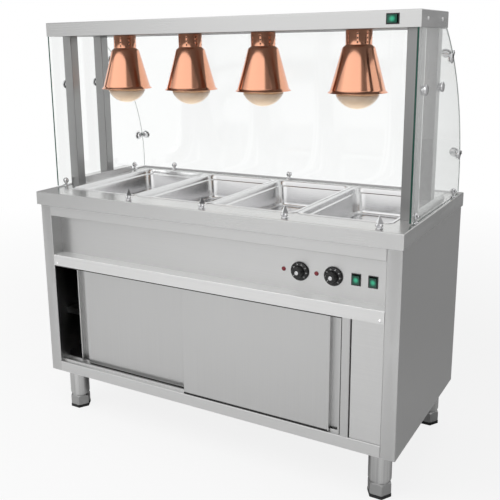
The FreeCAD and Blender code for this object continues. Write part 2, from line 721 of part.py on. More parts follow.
def pan_bars():
    """Channel bars that carry the long rims where two pans meet."""
    bars = []
    low = s.under_z - s.bar_height
    front = s.pan_setback - s.aperture_y
    back = s.pan_setback + s.aperture_y
    corners = [
        (s.well_front_y, low), (s.well_front_y, s.under_z), (front, s.under_z), (front, s.top_z),
        (back, s.top_z), (back, s.under_z), (s.well_back_y, s.under_z), (s.well_back_y, low),
    ]
    centres = pan_centres()
    for left, right in zip(centres, centres[1:]):
        middle = (left + right) / 2
        solid = extruded("YZ_Plane", corners, s.bar_width, (middle - s.bar_width / 2, 0, 0))
        inner = s.bar_width / 2 - s.well_sheet
        hollow = span((middle - inner, s.well_front_y - s.overrun, low - s.overrun),
                      (middle + inner, s.well_back_y + s.overrun, s.under_z - s.well_sheet))
        bars.append(cut(solid, [hollow]))
    node(group(bars), "pan_bars")


ELEMENT_RUNS = 4


def element_ends(pitch):
    half = pitch * (ELEMENT_RUNS - 1) / 2
    return [s.pan_setback - half, s.pan_setback + half]


def cupboard_element_z():
    return s.sill_z + s.cupboard_element_lift


def drain_place():
    return (s.well_x - s.drain_inset, s.pan_setback + s.drain_setback)


def well_tank():
    """Open water tank, hung by its flange under the aperture."""
    outer_x = s.well_x + s.well_sheet
    front = s.well_front_y - s.well_sheet
    back = s.well_back_y + s.well_sheet
    tank = span((-outer_x, front, s.well_z), (outer_x, back, s.under_z))
    flange = span((-outer_x - s.well_flange, front - s.well_flange, s.under_z - s.well_sheet),
                  (outer_x + s.well_flange, back + s.well_flange, s.under_z))
    hollow = span((-s.well_x, s.well_front_y, s.well_z + s.well_sheet),
                  (s.well_x, s.well_back_y, s.under_z + s.overrun))
    tools = [hollow]
    x, y = drain_place()
    tools.append(rod((x, y, s.well_z - s.overrun), s.drain_radius - s.drain_wall, s.overrun * 2))
    level = s.well_z + s.well_sheet + s.element_lift
    for y in element_ends(s.element_pitch):
        tools.append(rod((s.well_x - s.overrun, y, level), s.element_radius + s.running_gap,
                         s.well_sheet + s.overrun * 2, "+X"))
    node(cut(fuse([tank, flange]), tools), "well_tank")


def element(label, left, right, end, level, pitch):
    """Tubular heater in four runs and three bends, its two terminals through the right-hand wall."""
    near_y = float(element_ends(pitch)[0])
    level = float(level)
    left = float(left)
    right = float(right)
    step = float(pitch)
    rows = [near_y + step * run for run in range(ELEMENT_RUNS)]
    ends = [left, right, left]
    edges = []
    start = FreeCAD.Vector(float(end), rows[0], level)
    for number, turn_x in enumerate(ends):
        low = FreeCAD.Vector(turn_x, rows[number], level)
        high = FreeCAD.Vector(turn_x, rows[number + 1], level)
        bulge = math.copysign(step / 2, start.x - turn_x)
        crown = FreeCAD.Vector(turn_x - bulge, (low.y + high.y) / 2, level)
        edges.append(Part.LineSegment(start, low).toShape())
        edges.append(Part.Arc(low, crown, high).toShape())
        start = high
    edges.append(Part.LineSegment(start, FreeCAD.Vector(float(end), rows[-1], level)).toShape())
    path = Part.Wire(edges)
    ring = Part.Circle(FreeCAD.Vector(float(end), rows[0], level), FreeCAD.Vector(-1, 0, 0),
                       float(s.element_radius))
    tube = Part.Wire([ring.toShape()])
    thing = doc.addObject("Part::Feature", "Element")
    thing.Shape = path.makePipeShell([tube], True, False)
    node(thing, label)


def elements():
    element("well_element", s.element_side_gap - s.well_x, s.well_x - s.element_side_gap,
            s.well_x + s.well_sheet + s.terminal_length, s.well_z + s.well_sheet + s.element_lift,
            s.element_pitch)
    element("cupboard_element", s.element_side_gap - s.wall_x, s.divider_right_x - s.element_side_gap,
            s.divider_right_x + s.terminal_length, cupboard_element_z(), s.cupboard_element_pitch)


def drain():
    """Drain pipe under the well with a ball valve and its lever."""
    x, y = drain_place()
    low = s.well_z - s.drain_length
    pipe = rod((x, y, low), s.drain_radius, s.drain_length)
    valve_z = s.well_z - s.valve_drop - s.valve_height
    valve = rod((x, y, valve_z), s.valve_radius, s.valve_height)
    axis_z = valve_z + s.valve_height / 2
    stem = rod((x, y, axis_z), s.stem_radius, s.valve_radius + s.stem_length, "-Y")
    bore = rod((x, y, low - s.overrun), s.drain_radius - s.drain_wall, s.drain_length + s.overrun * 2)
    solid_ball = ball((x, y, axis_z), s.drain_radius + s.drain_wall)
    node(fuse([cut(fuse([pipe, valve]), [bore]), solid_ball, stem]), "drain_valve")
    hub_y = y - s.valve_radius - s.stem_length + s.lever_sheet
    hub = rod((x, hub_y, axis_z), s.lever_hub, s.lever_sheet * 2, "-Y")
    arm = span((x - s.lever_length, hub_y - s.lever_sheet, axis_z - s.lever_width / 2),
               (x, hub_y, axis_z + s.lever_width / 2))
    socket = rod((x, hub_y + s.overrun, axis_z), s.stem_radius + s.running_gap,
                 s.overrun + s.lever_sheet + s.running_gap, "-Y")
    node(cut(fuse([hub, arm]), [socket]), "drain_lever")


def shelf():
    """Inverted tray on four angle brackets."""
    low = (-s.wall_x + s.shelf_gap, s.fascia_y + s.shelf_front_gap, s.shelf_z - s.shelf_edge)
    high = (s.divider_right_x - s.panel_sheet - s.shelf_gap, s.back_wall_y - s.shelf_gap, s.shelf_z)
    tray = span(low, high)
    hollow = span((low[0] + s.panel_sheet, low[1] + s.panel_sheet, low[2] - s.overrun),
                  [item - s.panel_sheet for item in high])
    node(cut(tray, [hollow]), "shelf")
    brackets = []
    for wall, hand in ((-s.wall_x, 1), (s.divider_right_x - s.panel_sheet, -1)):
        for y in (low[1] + s.bracket_inset, high[1] - s.bracket_inset - s.bracket_length):
            tip = wall + s.bracket_leg * hand
            thick = wall + s.bracket_sheet * hand
            corners = [(wall, low[2] - s.bracket_leg), (wall, low[2]), (tip, low[2]),
                       (tip, low[2] - s.bracket_sheet), (thick, low[2] - s.bracket_sheet),
                       (thick, low[2] - s.bracket_leg)]
            brackets.append(extruded("XZ_Plane", corners, s.bracket_length, (0, y + s.bracket_length, 0)))
    node(group(brackets), "shelf_brackets")


def knobs():
    """Dial knobs on their thermostat spindles, with the thermostats behind the fascia."""
    thermostats = []
    for label, x in zip(("knob_well", "knob_cupboard"), knob_places()):
        profile = [
            (0, s.skirt_height / 2), (s.spindle_radius + s.spindle_fit, s.skirt_height / 2),
            (s.spindle_radius + s.spindle_fit, 0), (s.knob_radius - s.knob_edge_radius, 0),
            (s.knob_radius, s.knob_edge_radius), (s.knob_radius, s.skirt_height / 2),
            (s.knob_radius - s.knob_edge_radius * 2, s.skirt_height), (s.grip_radius, s.skirt_height),
            (s.grip_end_radius, s.knob_height - s.knob_edge_radius),
            (s.grip_end_radius - s.knob_edge_radius, s.knob_height),
            (s.knob_cap_radius, s.knob_height), (s.knob_cap_radius, s.knob_height - s.knob_cap_depth),
            (0, s.knob_height - s.knob_cap_depth),
        ]
        back = s.fascia_y - s.running_gap * 2
        dial = turned(profile, (x, back, s.control_z), (1, 0, 0), 90)
        reach = s.skirt_height / 2 + s.spindle_depth
        spindle = rod((x, back - s.skirt_height / 2, s.control_z), s.spindle_radius, reach, "+Y")
        node(group([dial, spindle]), label)
        half_width = s.thermostat_width / 2
        block = box((x - half_width, s.fascia_back_y, s.control_z - half_width),
                    (s.thermostat_width, s.thermostat_depth, s.thermostat_width))
        bush = rod((x, s.fascia_back_y, s.control_z), s.bush_radius, s.panel_sheet, "-Y")
        socket = rod((x, s.fascia_y - s.overrun, s.control_z), s.spindle_radius + s.bush_wall_gap,
                     s.overrun + s.spindle_depth + s.skirt_height, "+Y")
        thermostats.append(cut(fuse([block, bush]), [socket]))
    node(group(thermostats), "thermostats")


def pilot_lights():
    """Red domed lamps, pushed through the fascia."""
    lights = []
    for knob_x in knob_places():
        x = knob_x - s.pilot_lead
        profile = [
            (0, -s.pilot_length), (s.pilot_body_radius, -s.pilot_length), (s.pilot_body_radius, 0),
            (s.pilot_radius, 0), (s.pilot_radius, s.pilot_rim),
            (s.pilot_crown_radius, s.pilot_crown), (0, s.pilot_dome),
        ]
        lights.append(turned(profile, (x, s.fascia_y, s.control_z), (1, 0, 0), 90))
    node(group(lights), "pilot_lights")


def rocker_switch(at, angle, tilt):
    """Housing with its bezel, and the rocker turned about its pivot; built at the origin, facing -Y."""
    half_x = s.bezel_width / 2
    half_z = s.bezel_height / 2
    bezel = span((-half_x, -s.bezel_depth, -half_z), (half_x, 0, half_z))
    inset_x = half_x - s.housing_inset
    inset_z = half_z - s.housing_inset
    housing = span((-inset_x, 0, -inset_z), (inset_x, s.housing_depth, inset_z))
    well_x = half_x - s.rocker_side_wall
    well_z = half_z - s.rocker_end_wall
    well = span((-well_x, -s.bezel_depth - s.overrun, -well_z), (well_x, s.rocker_well, well_z))
    key_x = well_x - s.rocker_gap
    pivot_end = key_x + s.rocker_gap + s.pivot_length
    socket_end = pivot_end + s.pivot_gap
    sockets = rod((-socket_end, 0, 0), s.pivot_radius + s.pivot_gap, socket_end * 2, "+X")
    body = cut(fuse([bezel, housing]), [well, sockets])
    place(body, at, (0, 1, 0), angle)
    key_z = well_z - s.rocker_end_gap
    front = -s.bezel_depth - s.rocker_pivot
    corners = [
        (front + s.rocker_rise, 0), (front, key_z), (front + s.rocker_depth, key_z - s.rocker_taper),
        (front + s.rocker_depth, s.rocker_taper - key_z), (front, -key_z),
    ]
    key = extruded("YZ_Plane", corners, key_x * 2, (-key_x, 0, 0))
    pivots = rod((-pivot_end, 0, 0), s.pivot_radius, pivot_end * 2, "+X")
    tilted = fuse([key, pivots])
    place(tilted, (0, 0, 0), (1, 0, 0), tilt)
    turned_key = group([tilted])
    place(turned_key, at, (0, 1, 0), angle)
    return body, turned_key


def switches():
    """Two fascia switches and the gantry's, which lies on its side."""
    bodies = []
    places = [(x, s.fascia_y, s.control_z) for x in switch_places()]
    gantry = (s.beam_length / 2 - s.beam_switch_inset, s.beam_front_y, beam_top() - s.beam_switch_drop)
    for label, at, angle in (("rocker_well", places[0], 0), ("rocker_cupboard", places[1], 0),
                             ("rocker_lamps", gantry, 90)):
        body, key = rocker_switch(at, angle, s.rocker_tilt)
        bodies.append(body)
        node(key, label)
    node(group(bodies), "switch_bodies")


def beam_top():
    return s.beam_z + s.beam_height


def gantry_beam():
    """Folded cover with a lamp plate let into its underside."""
    half_x = s.beam_length / 2
    cover = span((-half_x, s.beam_front_y, s.beam_z), (half_x, s.beam_back_y, beam_top()))
    cover = soften(cover, s.top_edge_radius, lambda point: near(point.z, beam_top()))
    inner_x = half_x - s.beam_sheet
    inner_front = s.beam_front_y + s.beam_sheet
    inner_back = s.beam_back_y - s.beam_sheet
    hollow = span((-inner_x, inner_front, s.beam_z - s.overrun),
                  (inner_x, inner_back, beam_top() - s.beam_sheet))
    switch_x = half_x - s.beam_switch_inset
    switch_z = beam_top() - s.beam_switch_drop
    half_w = s.bezel_height / 2 - s.housing_inset
    half_h = s.bezel_width / 2 - s.housing_inset
    opening = span((switch_x - half_w, s.beam_front_y - s.overrun, switch_z - half_h),
                   (switch_x + half_w, s.beam_front_y + s.overrun, switch_z + half_h))
    node(cut(cover, [hollow, opening]), "beam_cover")
    plate = span((-inner_x, inner_front, s.beam_z), (inner_x, inner_back, s.beam_z + s.beam_sheet))
    holes = [rod((x, lamp_y(), s.beam_z - s.overrun), s.bulb_cap_radius / 2, s.overrun * 2)
             for x in lamp_places()]
    node(cut(plate, holes), "beam_plate")


def tube_post(x, y, low, high):
    """Rectangular upright tube."""
    outer = upright_edges(span((x, y, low), (x + s.post_width, y + s.post_depth, high)), s.post_corner)
    inner = span((x + s.post_wall, y + s.post_wall, low - s.overrun),
                 (x + s.post_width - s.post_wall, y + s.post_depth - s.post_wall, high + s.overrun))
    return cut(outer, [inner])


def gantry_posts():
    """A front post on the worktop, and a rear post on a base rail, at each end."""
    fronts = []
    rears = []
    rails = []
    for x in (-s.post_x - s.post_width, s.post_x):
        fronts.append(tube_post(x, s.front_post_y, s.top_z, s.beam_z))
        rail_z = s.top_z + s.base_rail_height
        rears.append(tube_post(x, s.rear_post_y, rail_z, s.beam_z))
        start = s.front_post_y + s.post_depth
        rail = box((x, start, s.top_z), (s.post_width, s.base_rail_length, s.base_rail_height))
        inner = box((x + s.post_wall, start + s.post_wall, s.top_z + s.post_wall),
                    (s.post_width - s.post_wall * 2, s.base_rail_length - s.post_wall * 2,
                     s.base_rail_height - s.post_wall * 2))
        rails.append(cut(rail, [inner]))
    node(group(fronts), "front_posts")
    node(group(rears), "rear_posts")
    node(group(rails), "base_rails")


def lamp_y():
    return -s.half_depth + s.lamp_setback


def lamp_places():
    """One pitch from the left-hand lamp on, and the last lamp from the right-hand end of the beam."""
    first = s.lamp_left_inset - s.beam_length / 2
    places = [first + number * s.lamp_pitch for number in range(SIZES["lamp_count"] - 1)]
    return places + [s.beam_length / 2 - s.lamp_right_inset]


def shade_profile():
    """Section of the spun shade, from the top down outside and back up inside, as radius and height."""
    cone_end = -s.shade_height + s.rim_drop
    shoulder = -s.neck_height - s.shoulder_drop
    return [
        (s.holder_radius + s.shade_sheet, 0), (s.neck_radius, 0), (s.neck_radius, -s.neck_height),
        (s.shoulder_radius, shoulder), (s.cone_radius, cone_end), (s.rim_radius, -s.shade_height),
        (s.rim_radius - s.shade_sheet, -s.shade_height - s.shade_sheet / 2),
        (s.cone_radius - s.shade_sheet, cone_end - s.shade_sheet / 2),
        (s.shoulder_radius - s.shade_sheet, shoulder - s.shade_sheet / 2),
        (s.neck_radius - s.shade_sheet, -s.neck_height - s.shade_sheet / 2),
        (s.neck_radius - s.shade_sheet, -s.shade_sheet), (s.holder_radius + s.shade_sheet, -s.shade_sheet),
    ]


def lamp_shade(label, x):
    """Spun copper shade; its neck is pierced by columns of three vent holes."""
    body = turned(shade_profile(), (x, lamp_y(), s.beam_z))
    sketch = body.newObject("Sketcher::SketchObject", "Vents")
    datum = [item for item in body.Origin.OriginFeatures if item.Role == "XZ_Plane"][0]
    sketch.AttachmentSupport = [(datum, "")]
    sketch.MapMode = "FlatFace"
    for number in range(SIZES["vent_rows"]):
        drop = -(s.vent_drop + s.vent_pitch * number)
        circle = Part.Circle(FreeCAD.Vector(0, float(drop), 0), FreeCAD.Vector(0, 0, 1), float(s.vent_radius))
        index = sketch.addGeometry(circle, False)
        sketch.addConstraint(Sketcher.Constraint("PointOnObject", index, 3, -2))
        row = sketch.addConstraint(Sketcher.Constraint("DistanceY", -1, 1, index, 3, float(drop)))
        bind(sketch, "Constraints[%d]" % row, drop)
        row = sketch.addConstraint(Sketcher.Constraint("Radius", index, float(s.vent_radius)))
        bind(sketch, "Constraints[%d]" % row, s.vent_radius)
    doc.recompute()
    pocket = body.newObject("PartDesign::Pocket", "VentPair")
    pocket.Profile = sketch
    bind(pocket, "Length", s.neck_radius * 2 + s.overrun)
    pocket.Midplane = True
    doc.recompute()
    pattern = body.newObject("PartDesign::PolarPattern", "VentRing")
    pattern.Originals = [pocket]
    pattern.Axis = (sketch, ["V_Axis"])
    columns = SIZES["vent_columns"] // 2
    pattern.Angle = 180 * (columns - 1) / columns
    pattern.Occurrences = columns
    body.Tip = pattern
    node(body, label)


def lamps():
    """Four shades, and their lampholders and reflector bulbs."""
    holders = []
    bulbs = []
    for number, x in enumerate(lamp_places(), 1):
        lamp_shade("lamp_shade_%d" % number, x)
        holder_end = s.beam_z - s.holder_height
        holders.append(rod((x, lamp_y(), holder_end), s.holder_radius, s.holder_height))
        rim_z = -s.shade_height + s.holder_height
        flare_z = rim_z + s.bulb_flare
        girdle = rim_z + s.bulb_girdle
        dome_z = rim_z - s.bulb_girdle_drop
        height = s.bulb_drop - s.bulb_girdle_drop
        dome = (s.bulb_radius * s.bulb_radius + height * height) / (height * 2)
        profile = [
            (0, 0), (s.bulb_cap_radius, 0), (s.bulb_cap_radius, -s.bulb_cap_height),
            (s.bulb_neck_radius, flare_z - s.bulb_cap_height), (s.bulb_radius, girdle),
            (s.bulb_radius, dome_z), (0, rim_z - s.bulb_drop, -dome),
        ]
        bulbs.append(turned(profile, (x, lamp_y(), holder_end)))
    node(group(holders), "lampholders")
    node(group(bulbs), "heat_bulbs")


def glass_profile(inset):
    """Front, top and curved back of the glass, in Y and Z; inset moves the back face inwards."""
    radius = s.glass_radius - inset
    rise = s.glass_top_z - s.arc_z
    top_y = s.arc_y + root(radius * radius - rise * rise)
    return radius, top_y


def connector_places():
    """Height and lean of the two corner connectors on the curved back."""
    places = []
    for lift in (s.low_connector_lift, s.high_connector_lift):
        level = s.top_z + lift
        rise = level - s.arc_z
        y = s.arc_y + root(s.glass_radius * s.glass_radius - rise * rise)
        lean = Size(math.degrees(math.asin(rise.value / s.glass_radius.value)),
                    "asin(%s / %s)" % (rise.text, s.glass_radius.text))
        places.append((y, level, lean))
    return places


def swung(thing, at, lean):
    """Leans a piece made at the origin back about X, and carries it to its place."""
    return place(group([thing]), at, (1, 0, 0), lean)


def side_glasses():
    """Flat end panes with a curved back edge, drilled for standoffs and connectors."""
    radius, top_y = glass_profile(0)
    for label, left in (("side_glass_left", -s.glass_x), ("side_glass_right", s.glass_x - s.glass_sheet)):
        corners = [
            (s.beam_front_y, s.glass_low_z), (s.glass_back_y, s.glass_low_z), (s.glass_back_y, s.arc_z),
            (top_y, s.glass_top_z, radius), (s.beam_front_y, s.glass_top_z),
        ]
        pane = extruded("YZ_Plane", corners, s.glass_sheet, (left, 0, 0))
        holes = []
        for y in standoff_rows():
            holes.append(rod((left - s.overrun, y, s.top_z + s.standoff_lift),
                             s.standoff_bolt_radius + s.glass_hole_gap, s.glass_sheet + s.overrun * 2, "+X"))
        for y, z, lean in connector_places():
            hole = rod((0, -s.disc_inset, 0), s.disc_bolt_radius + s.glass_hole_gap,
                       s.glass_sheet + s.overrun * 2, "+X")
            holes.append(swung(hole, (left - s.overrun, y, z), lean))
        node(cut(pane, holes), label)


def standoff_rows():
    return [s.front_post_y + s.post_depth / 2, s.rear_post_y + s.post_depth / 2]


def curved_glass():
    """Customer-side pane: upright at the foot, then bent back to the beam."""
    outer, outer_top = glass_profile(0)
    inner, inner_top = glass_profile(s.glass_sheet)
    corners = [
        (s.glass_back_y - s.glass_sheet, s.glass_low_z), (s.glass_back_y, s.glass_low_z),
        (s.glass_back_y, s.arc_z), (outer_top, s.glass_top_z, outer), (inner_top, s.glass_top_z),
        (s.glass_back_y - s.glass_sheet, s.arc_z, -inner),
    ]
    end = s.glass_x - s.glass_sheet - s.running_gap
    pane = extruded("YZ_Plane", corners, end * 2, (-end, 0, 0))
    holes = []
    for y, z, lean in connector_places():
        for hand in (-1, 1):
            hole = rod((0, -s.glass_sheet - s.overrun, 0), s.disc_bolt_radius + s.glass_hole_gap,
                       s.glass_sheet + s.overrun * 2, "+Y")
            holes.append(swung(hole, ((s.glass_x - s.disc_inset) * hand, y, z), lean))
    node(cut(pane, holes), "curved_glass")


def glass_connectors():
    """Corner connectors: a clamped disc on each pane, joined round the corner by a link."""
    things = []
    sheet_gap = s.glass_sheet + s.disc_pad
    for y, z, lean in connector_places():
        for hand, way, back in ((-1, "-X", "+X"), (1, "+X", "-X")):
            side = rod((s.disc_pad * hand, -s.disc_inset, 0), s.disc_radius, s.disc_height, way)
            side_back = rod((-sheet_gap * hand, -s.disc_inset, 0), s.back_disc_radius, s.disc_height, back)
            side_bolt = rod((s.disc_height * hand, -s.disc_inset, 0), s.disc_bolt_radius,
                            sheet_gap + s.disc_bolt_reach, back)
            rear_x = -s.disc_inset * hand
            rear = rod((rear_x, s.disc_pad, 0), s.disc_radius, s.disc_height, "+Y")
            rear_back = rod((rear_x, -sheet_gap, 0), s.back_disc_radius, s.disc_height, "-Y")
            rear_bolt = rod((rear_x, s.disc_height, 0), s.disc_bolt_radius,
                            sheet_gap + s.disc_bolt_reach, "-Y")
            half = s.link_width / 2
            low_x, high_x = (rear_x, s.disc_height) if hand > 0 else (-s.disc_height, rear_x)
            link = span((low_x, s.disc_pad, -half), (high_x, s.disc_height, half))
            wrap_low, wrap_high = (s.disc_pad, s.disc_height) if hand > 0 else (-s.disc_height, -s.disc_pad)
            wrap = span((wrap_low, -s.disc_inset, -half), (wrap_high, s.disc_height, half))
            whole = fuse([side, side_back, side_bolt, rear, rear_back, rear_bolt, link, wrap])
            things.append(swung(whole, (s.glass_x * hand, y, z), lean))
    node(group(things), "glass_connectors")


def standoffs():
    """Spacer, bolt and cap between each post and the end pane."""
    things = []
    post_face = s.post_x + s.post_width
    for hand, way in ((-1, "-X"), (1, "+X")):
        for y in standoff_rows():
            z = s.top_z + s.standoff_lift
            spacer = rod((post_face * hand, y, z), s.standoff_radius,
                         s.glass_x - s.glass_sheet - post_face, way)
            bolt = rod((post_face * hand, y, z), s.standoff_bolt_radius,
                       s.glass_x - post_face + s.cap_height / 2, way)
            cap = taper((s.glass_x * hand, y, z), s.cap_radius, s.cap_radius - s.cap_bevel,
                        s.cap_height, way)
            things.append(fuse([spacer, bolt, cap]))
    node(group(things), "standoffs")


def clip(at, angle):
    """Polished clamp: round foot, neck and slotted jaw; the slot runs along Y before it is turned."""
    foot = taper((0, 0, 0), s.clip_radius, s.clip_radius - s.clip_foot / 2, s.clip_foot)
    neck = rod((0, 0, 0), s.clip_neck, s.clip_height - s.clip_ball)
    jaw = ball((0, 0, s.clip_height - s.clip_ball), s.clip_ball)
    half_slot = s.glass_sheet / 2 + s.clip_grip
    slot = span((-half_slot, -s.clip_radius * 2, s.glass_lift - s.clip_grip),
                (half_slot, s.clip_radius * 2, s.clip_height + s.overrun))
    return place(cut(fuse([foot, neck, jaw]), [slot]), at, (0, 0, 1), angle)


def pan_catch(at):
    """Polished catch at the pans' front rims: round base, two lobes and a pointed head."""
    neck_z = s.catch_waist - s.catch_base / 2
    profile = [
        (0, 0), (s.catch_radius, 0), (s.catch_radius, s.catch_base / 2),
        (s.catch_radius - s.catch_base / 2, s.catch_base), (s.catch_neck, s.catch_base),
        (s.catch_neck, neck_z), (s.catch_head_radius, s.catch_girdle), (0, s.catch_height),
    ]
    lobes = [ball((s.catch_lobe * hand, -s.catch_lobe / 2, s.catch_waist), s.catch_lobe) for hand in (-1, 1)]
    return place(group([fuse([turned(profile)] + lobes)]), at)


BACK_CLIPS = 3
FRONT_CATCHES = 4


def clip_row(left_inset, right_inset, count):
    """Evenly spaced places between two insets from the worktop's ends."""
    first = left_inset - s.half_length
    pitch = (s.top_length - left_inset - right_inset) / (count - 1)
    return [first + pitch * number for number in range(count)]


def worktop_clips():
    """Clips that hold the foot of each pane, and four catches along the front edge."""
    clips = []
    pane_x = s.glass_x - s.glass_sheet / 2
    pane_y = s.glass_back_y - s.glass_sheet / 2
    for hand in (-1, 1):
        clips.append(clip((pane_x * hand, s.beam_front_y + s.side_clip_front, s.top_z), 0))
        clips.append(clip((pane_x * hand, s.glass_back_y - s.side_clip_back, s.top_z), 0))
    for x in clip_row(s.back_clip_left_inset, s.back_clip_right_inset, BACK_CLIPS):
        clips.append(clip((x, pane_y, s.top_z), 90))
    for x in clip_row(s.catch_left_inset, s.catch_right_inset, FRONT_CATCHES):
        clips.append(pan_catch((x, -s.half_depth + s.catch_setback, s.top_z)))
    node(group(clips), "worktop_clips")


LEG_NAMES = ("front_left", "front_right", "rear_left", "rear_right")


def leg_places():
    x = s.half_length - s.leg_side_inset
    front = -s.half_depth + s.leg_front_inset
    back = s.half_depth - s.leg_back_inset
    return [(-x, front), (x, front), (-x, back), (x, back)]


def legs():
    """Welded plate and round tube with a turned-in toe that takes the foot's thread."""
    things = []
    tube_top = s.leg_height - s.leg_plate_sheet
    inner = s.leg_radius - s.leg_wall
    bore = s.thread_radius + s.thread_gap
    plug_z = s.foot_z + s.leg_plug
    half = s.leg_plate / 2
    for x, y in leg_places():
        profile = [
            (bore, s.foot_z), (s.leg_toe_radius, s.foot_z), (s.leg_radius, s.foot_z + s.leg_toe_height),
            (s.leg_radius, tube_top), (inner, tube_top), (inner, plug_z), (bore, plug_z),
        ]
        tube = turned(profile, (x, y, 0))
        plate = span((x - half, y - half, tube_top), (x + half, y + half, s.leg_height))
        things.append(fuse([tube, plate]))
    node(group(things), "legs")


def hexagon(at, flats, height):
    """Hexagonal bar with flats facing the front and the back."""
    thing = doc.addObject("Part::Prism", "Hexagon")
    thing.Polygon = 6
    bind(thing, "Circumradius", flats / math.sqrt(3))
    bind(thing, "Height", height)
    return place(thing, at)


def screw_feet():
    """Hexagonal foot with a chamfered crown, its thread and the pad under it."""
    for name, (x, y) in zip(LEG_NAMES, leg_places()):
        bar = hexagon((x, y, s.pad_height), s.foot_flats, s.foot_height)
        corner = s.foot_flats / math.sqrt(3)
        crown = s.foot_flats / 2
        waist = s.foot_height - s.foot_chamfer
        lower = rod((x, y, s.pad_height), corner, waist)
        upper = taper((x, y, s.pad_height + waist), corner, crown, s.foot_chamfer)
        nut = doc.addObject("Part::MultiCommon", "Nut")
        nut.Shapes = [bar, fuse([lower, upper])]
        thread = rod((x, y, s.pad_height + s.foot_height), s.thread_radius, s.thread_length)
        pad = hexagon((x, y, 0), s.foot_flats + s.pad_growth, s.pad_height)
        node(group([fuse([nut, thread]), pad]), "foot_" + name)


def check(thing):
    """Stops on a sub-part that failed to build."""
    if thing.Shape.isNull() or not thing.Shape.isValid():
        raise RuntimeError("bad shape: " + thing.Label)


def main():
    derive_sizes()
    worktop()
    side_panels()
    rear_panel()
    bottom_rail()
    ledge_rail()
    top_rail()
    control_fascia()
    divider_wall()
    service_panel()
    cupboard_floor()
    cable_gland()
    doors()
    door_track()
    well_tank()
    pan_bars()
    pans()
    elements()
    drain()
    shelf()
    knobs()
    pilot_lights()
    switches()
    gantry_beam()
    node(group(rail_screws() + beam_screws()), "screws")
    gantry_posts()
    lamps()
    side_glasses()
    curved_glass()
    glass_connectors()
    standoffs()
    worktop_clips()
    legs()
    screw_feet()
    doc.recompute()
    for thing in doc.Objects:
        if "Invalid" in thing.State or "Error" in thing.State:
            raise RuntimeError("failed: %s (%s)" % (thing.Name, thing.Label))
    os.makedirs("parts", exist_ok=True)
    for thing in nodes:
        check(thing)
    for thing in nodes:
        thing.Shape.exportStep("parts/%s.step" % thing.Label)
    print(len(nodes), "nodes")


main()
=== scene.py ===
"""Looks of the heated bain-marie counter: brushed steel, copper lamps, glass, dials and lit switches.

Metres, in the counter's own frame: +X right, -Y the operator's side, +Z up, origin on the floor.
"""
import math

import bmesh
import bpy
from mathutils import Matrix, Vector


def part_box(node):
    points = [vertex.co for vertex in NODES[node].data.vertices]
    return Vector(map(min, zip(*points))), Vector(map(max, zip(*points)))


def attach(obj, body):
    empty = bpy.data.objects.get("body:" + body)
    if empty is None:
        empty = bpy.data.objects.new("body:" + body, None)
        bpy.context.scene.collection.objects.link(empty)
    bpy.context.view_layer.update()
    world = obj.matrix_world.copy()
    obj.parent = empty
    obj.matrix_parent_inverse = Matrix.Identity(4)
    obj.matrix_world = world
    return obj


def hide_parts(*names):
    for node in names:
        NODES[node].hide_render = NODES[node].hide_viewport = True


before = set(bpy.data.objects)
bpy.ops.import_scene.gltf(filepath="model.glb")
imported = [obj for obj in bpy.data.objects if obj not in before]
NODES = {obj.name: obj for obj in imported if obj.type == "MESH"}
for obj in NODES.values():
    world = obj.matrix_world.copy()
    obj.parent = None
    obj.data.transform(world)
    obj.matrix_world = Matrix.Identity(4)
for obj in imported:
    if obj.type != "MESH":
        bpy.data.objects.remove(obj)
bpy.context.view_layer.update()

MM = 0.001
SAME_PLACE = 0.01 * MM
SMOOTH_TURN = 32
HARD_TURN = 40


# Mesh helpers

def make_object(name, mesh, at=(0, 0, 0)):
    """A new object in the scene with its mesh, at a point."""
    piece = bpy.data.objects.new(name, mesh)
    bpy.context.scene.collection.objects.link(piece)
    piece.location = at
    return piece


def make_mesh(name, points, faces, sharp_angle=SMOOTH_TURN):
    """A smooth-shaded mesh whose edges stay sharp past an angle in degrees."""
    mesh = bpy.data.meshes.new(name)
    mesh.from_pydata([tuple(point) for point in points], [], faces)
    mesh.validate()
    tidy = bmesh.new()
    tidy.from_mesh(mesh)
    bmesh.ops.recalc_face_normals(tidy, faces=tidy.faces)
    tidy.to_mesh(mesh)
    tidy.free()
    mesh.shade_smooth()
    mesh.set_sharp_from_angle(angle=math.radians(sharp_angle))
    return mesh


def loft_faces(rings, count, closed=True):
    """Quads between neighbouring rings of equal length."""
    faces = []
    steps = count if closed else count - 1
    for ring in range(rings - 1):
        for step in range(steps):
            follower = (step + 1) % count
            faces.append((ring * count + step, ring * count + follower,
                          (ring + 1) * count + follower, (ring + 1) * count + step))
    return faces


def lathe(name, profile, steps=96, sharp_angle=SMOOTH_TURN):
    """A turned mesh about Z from (radius, height) pairs; a zero radius closes an end."""
    points = []
    for radius, height in profile:
        for step in range(steps):
            turn = 2 * math.pi * step / steps
            points.append((radius * math.cos(turn), radius * math.sin(turn), height))
    mesh = make_mesh(name, points, loft_faces(len(profile), steps), sharp_angle)
    weld(mesh)
    return mesh


def weld(mesh):
    """Joins points that share a place."""
    tidy = bmesh.new()
    tidy.from_mesh(mesh)
    bmesh.ops.remove_doubles(tidy, verts=tidy.verts, dist=SAME_PLACE)
    bmesh.ops.recalc_face_normals(tidy, faces=tidy.faces)
    tidy.to_mesh(mesh)
    tidy.free()


def rounded_rectangle(half_x, half_y, corner, steps=8):
    """Points round a rectangle with rounded corners, anticlockwise."""
    points = []
    for quarter in range(4):
        sign_x = 1 if quarter in (0, 3) else -1
        sign_y = 1 if quarter in (0, 1) else -1
        for step in range(steps + 1):
            turn = math.pi / 2 * (quarter + step / steps)
            points.append((sign_x * (half_x - corner) + corner * math.cos(turn),
                           sign_y * (half_y - corner) + corner * math.sin(turn)))
    return points


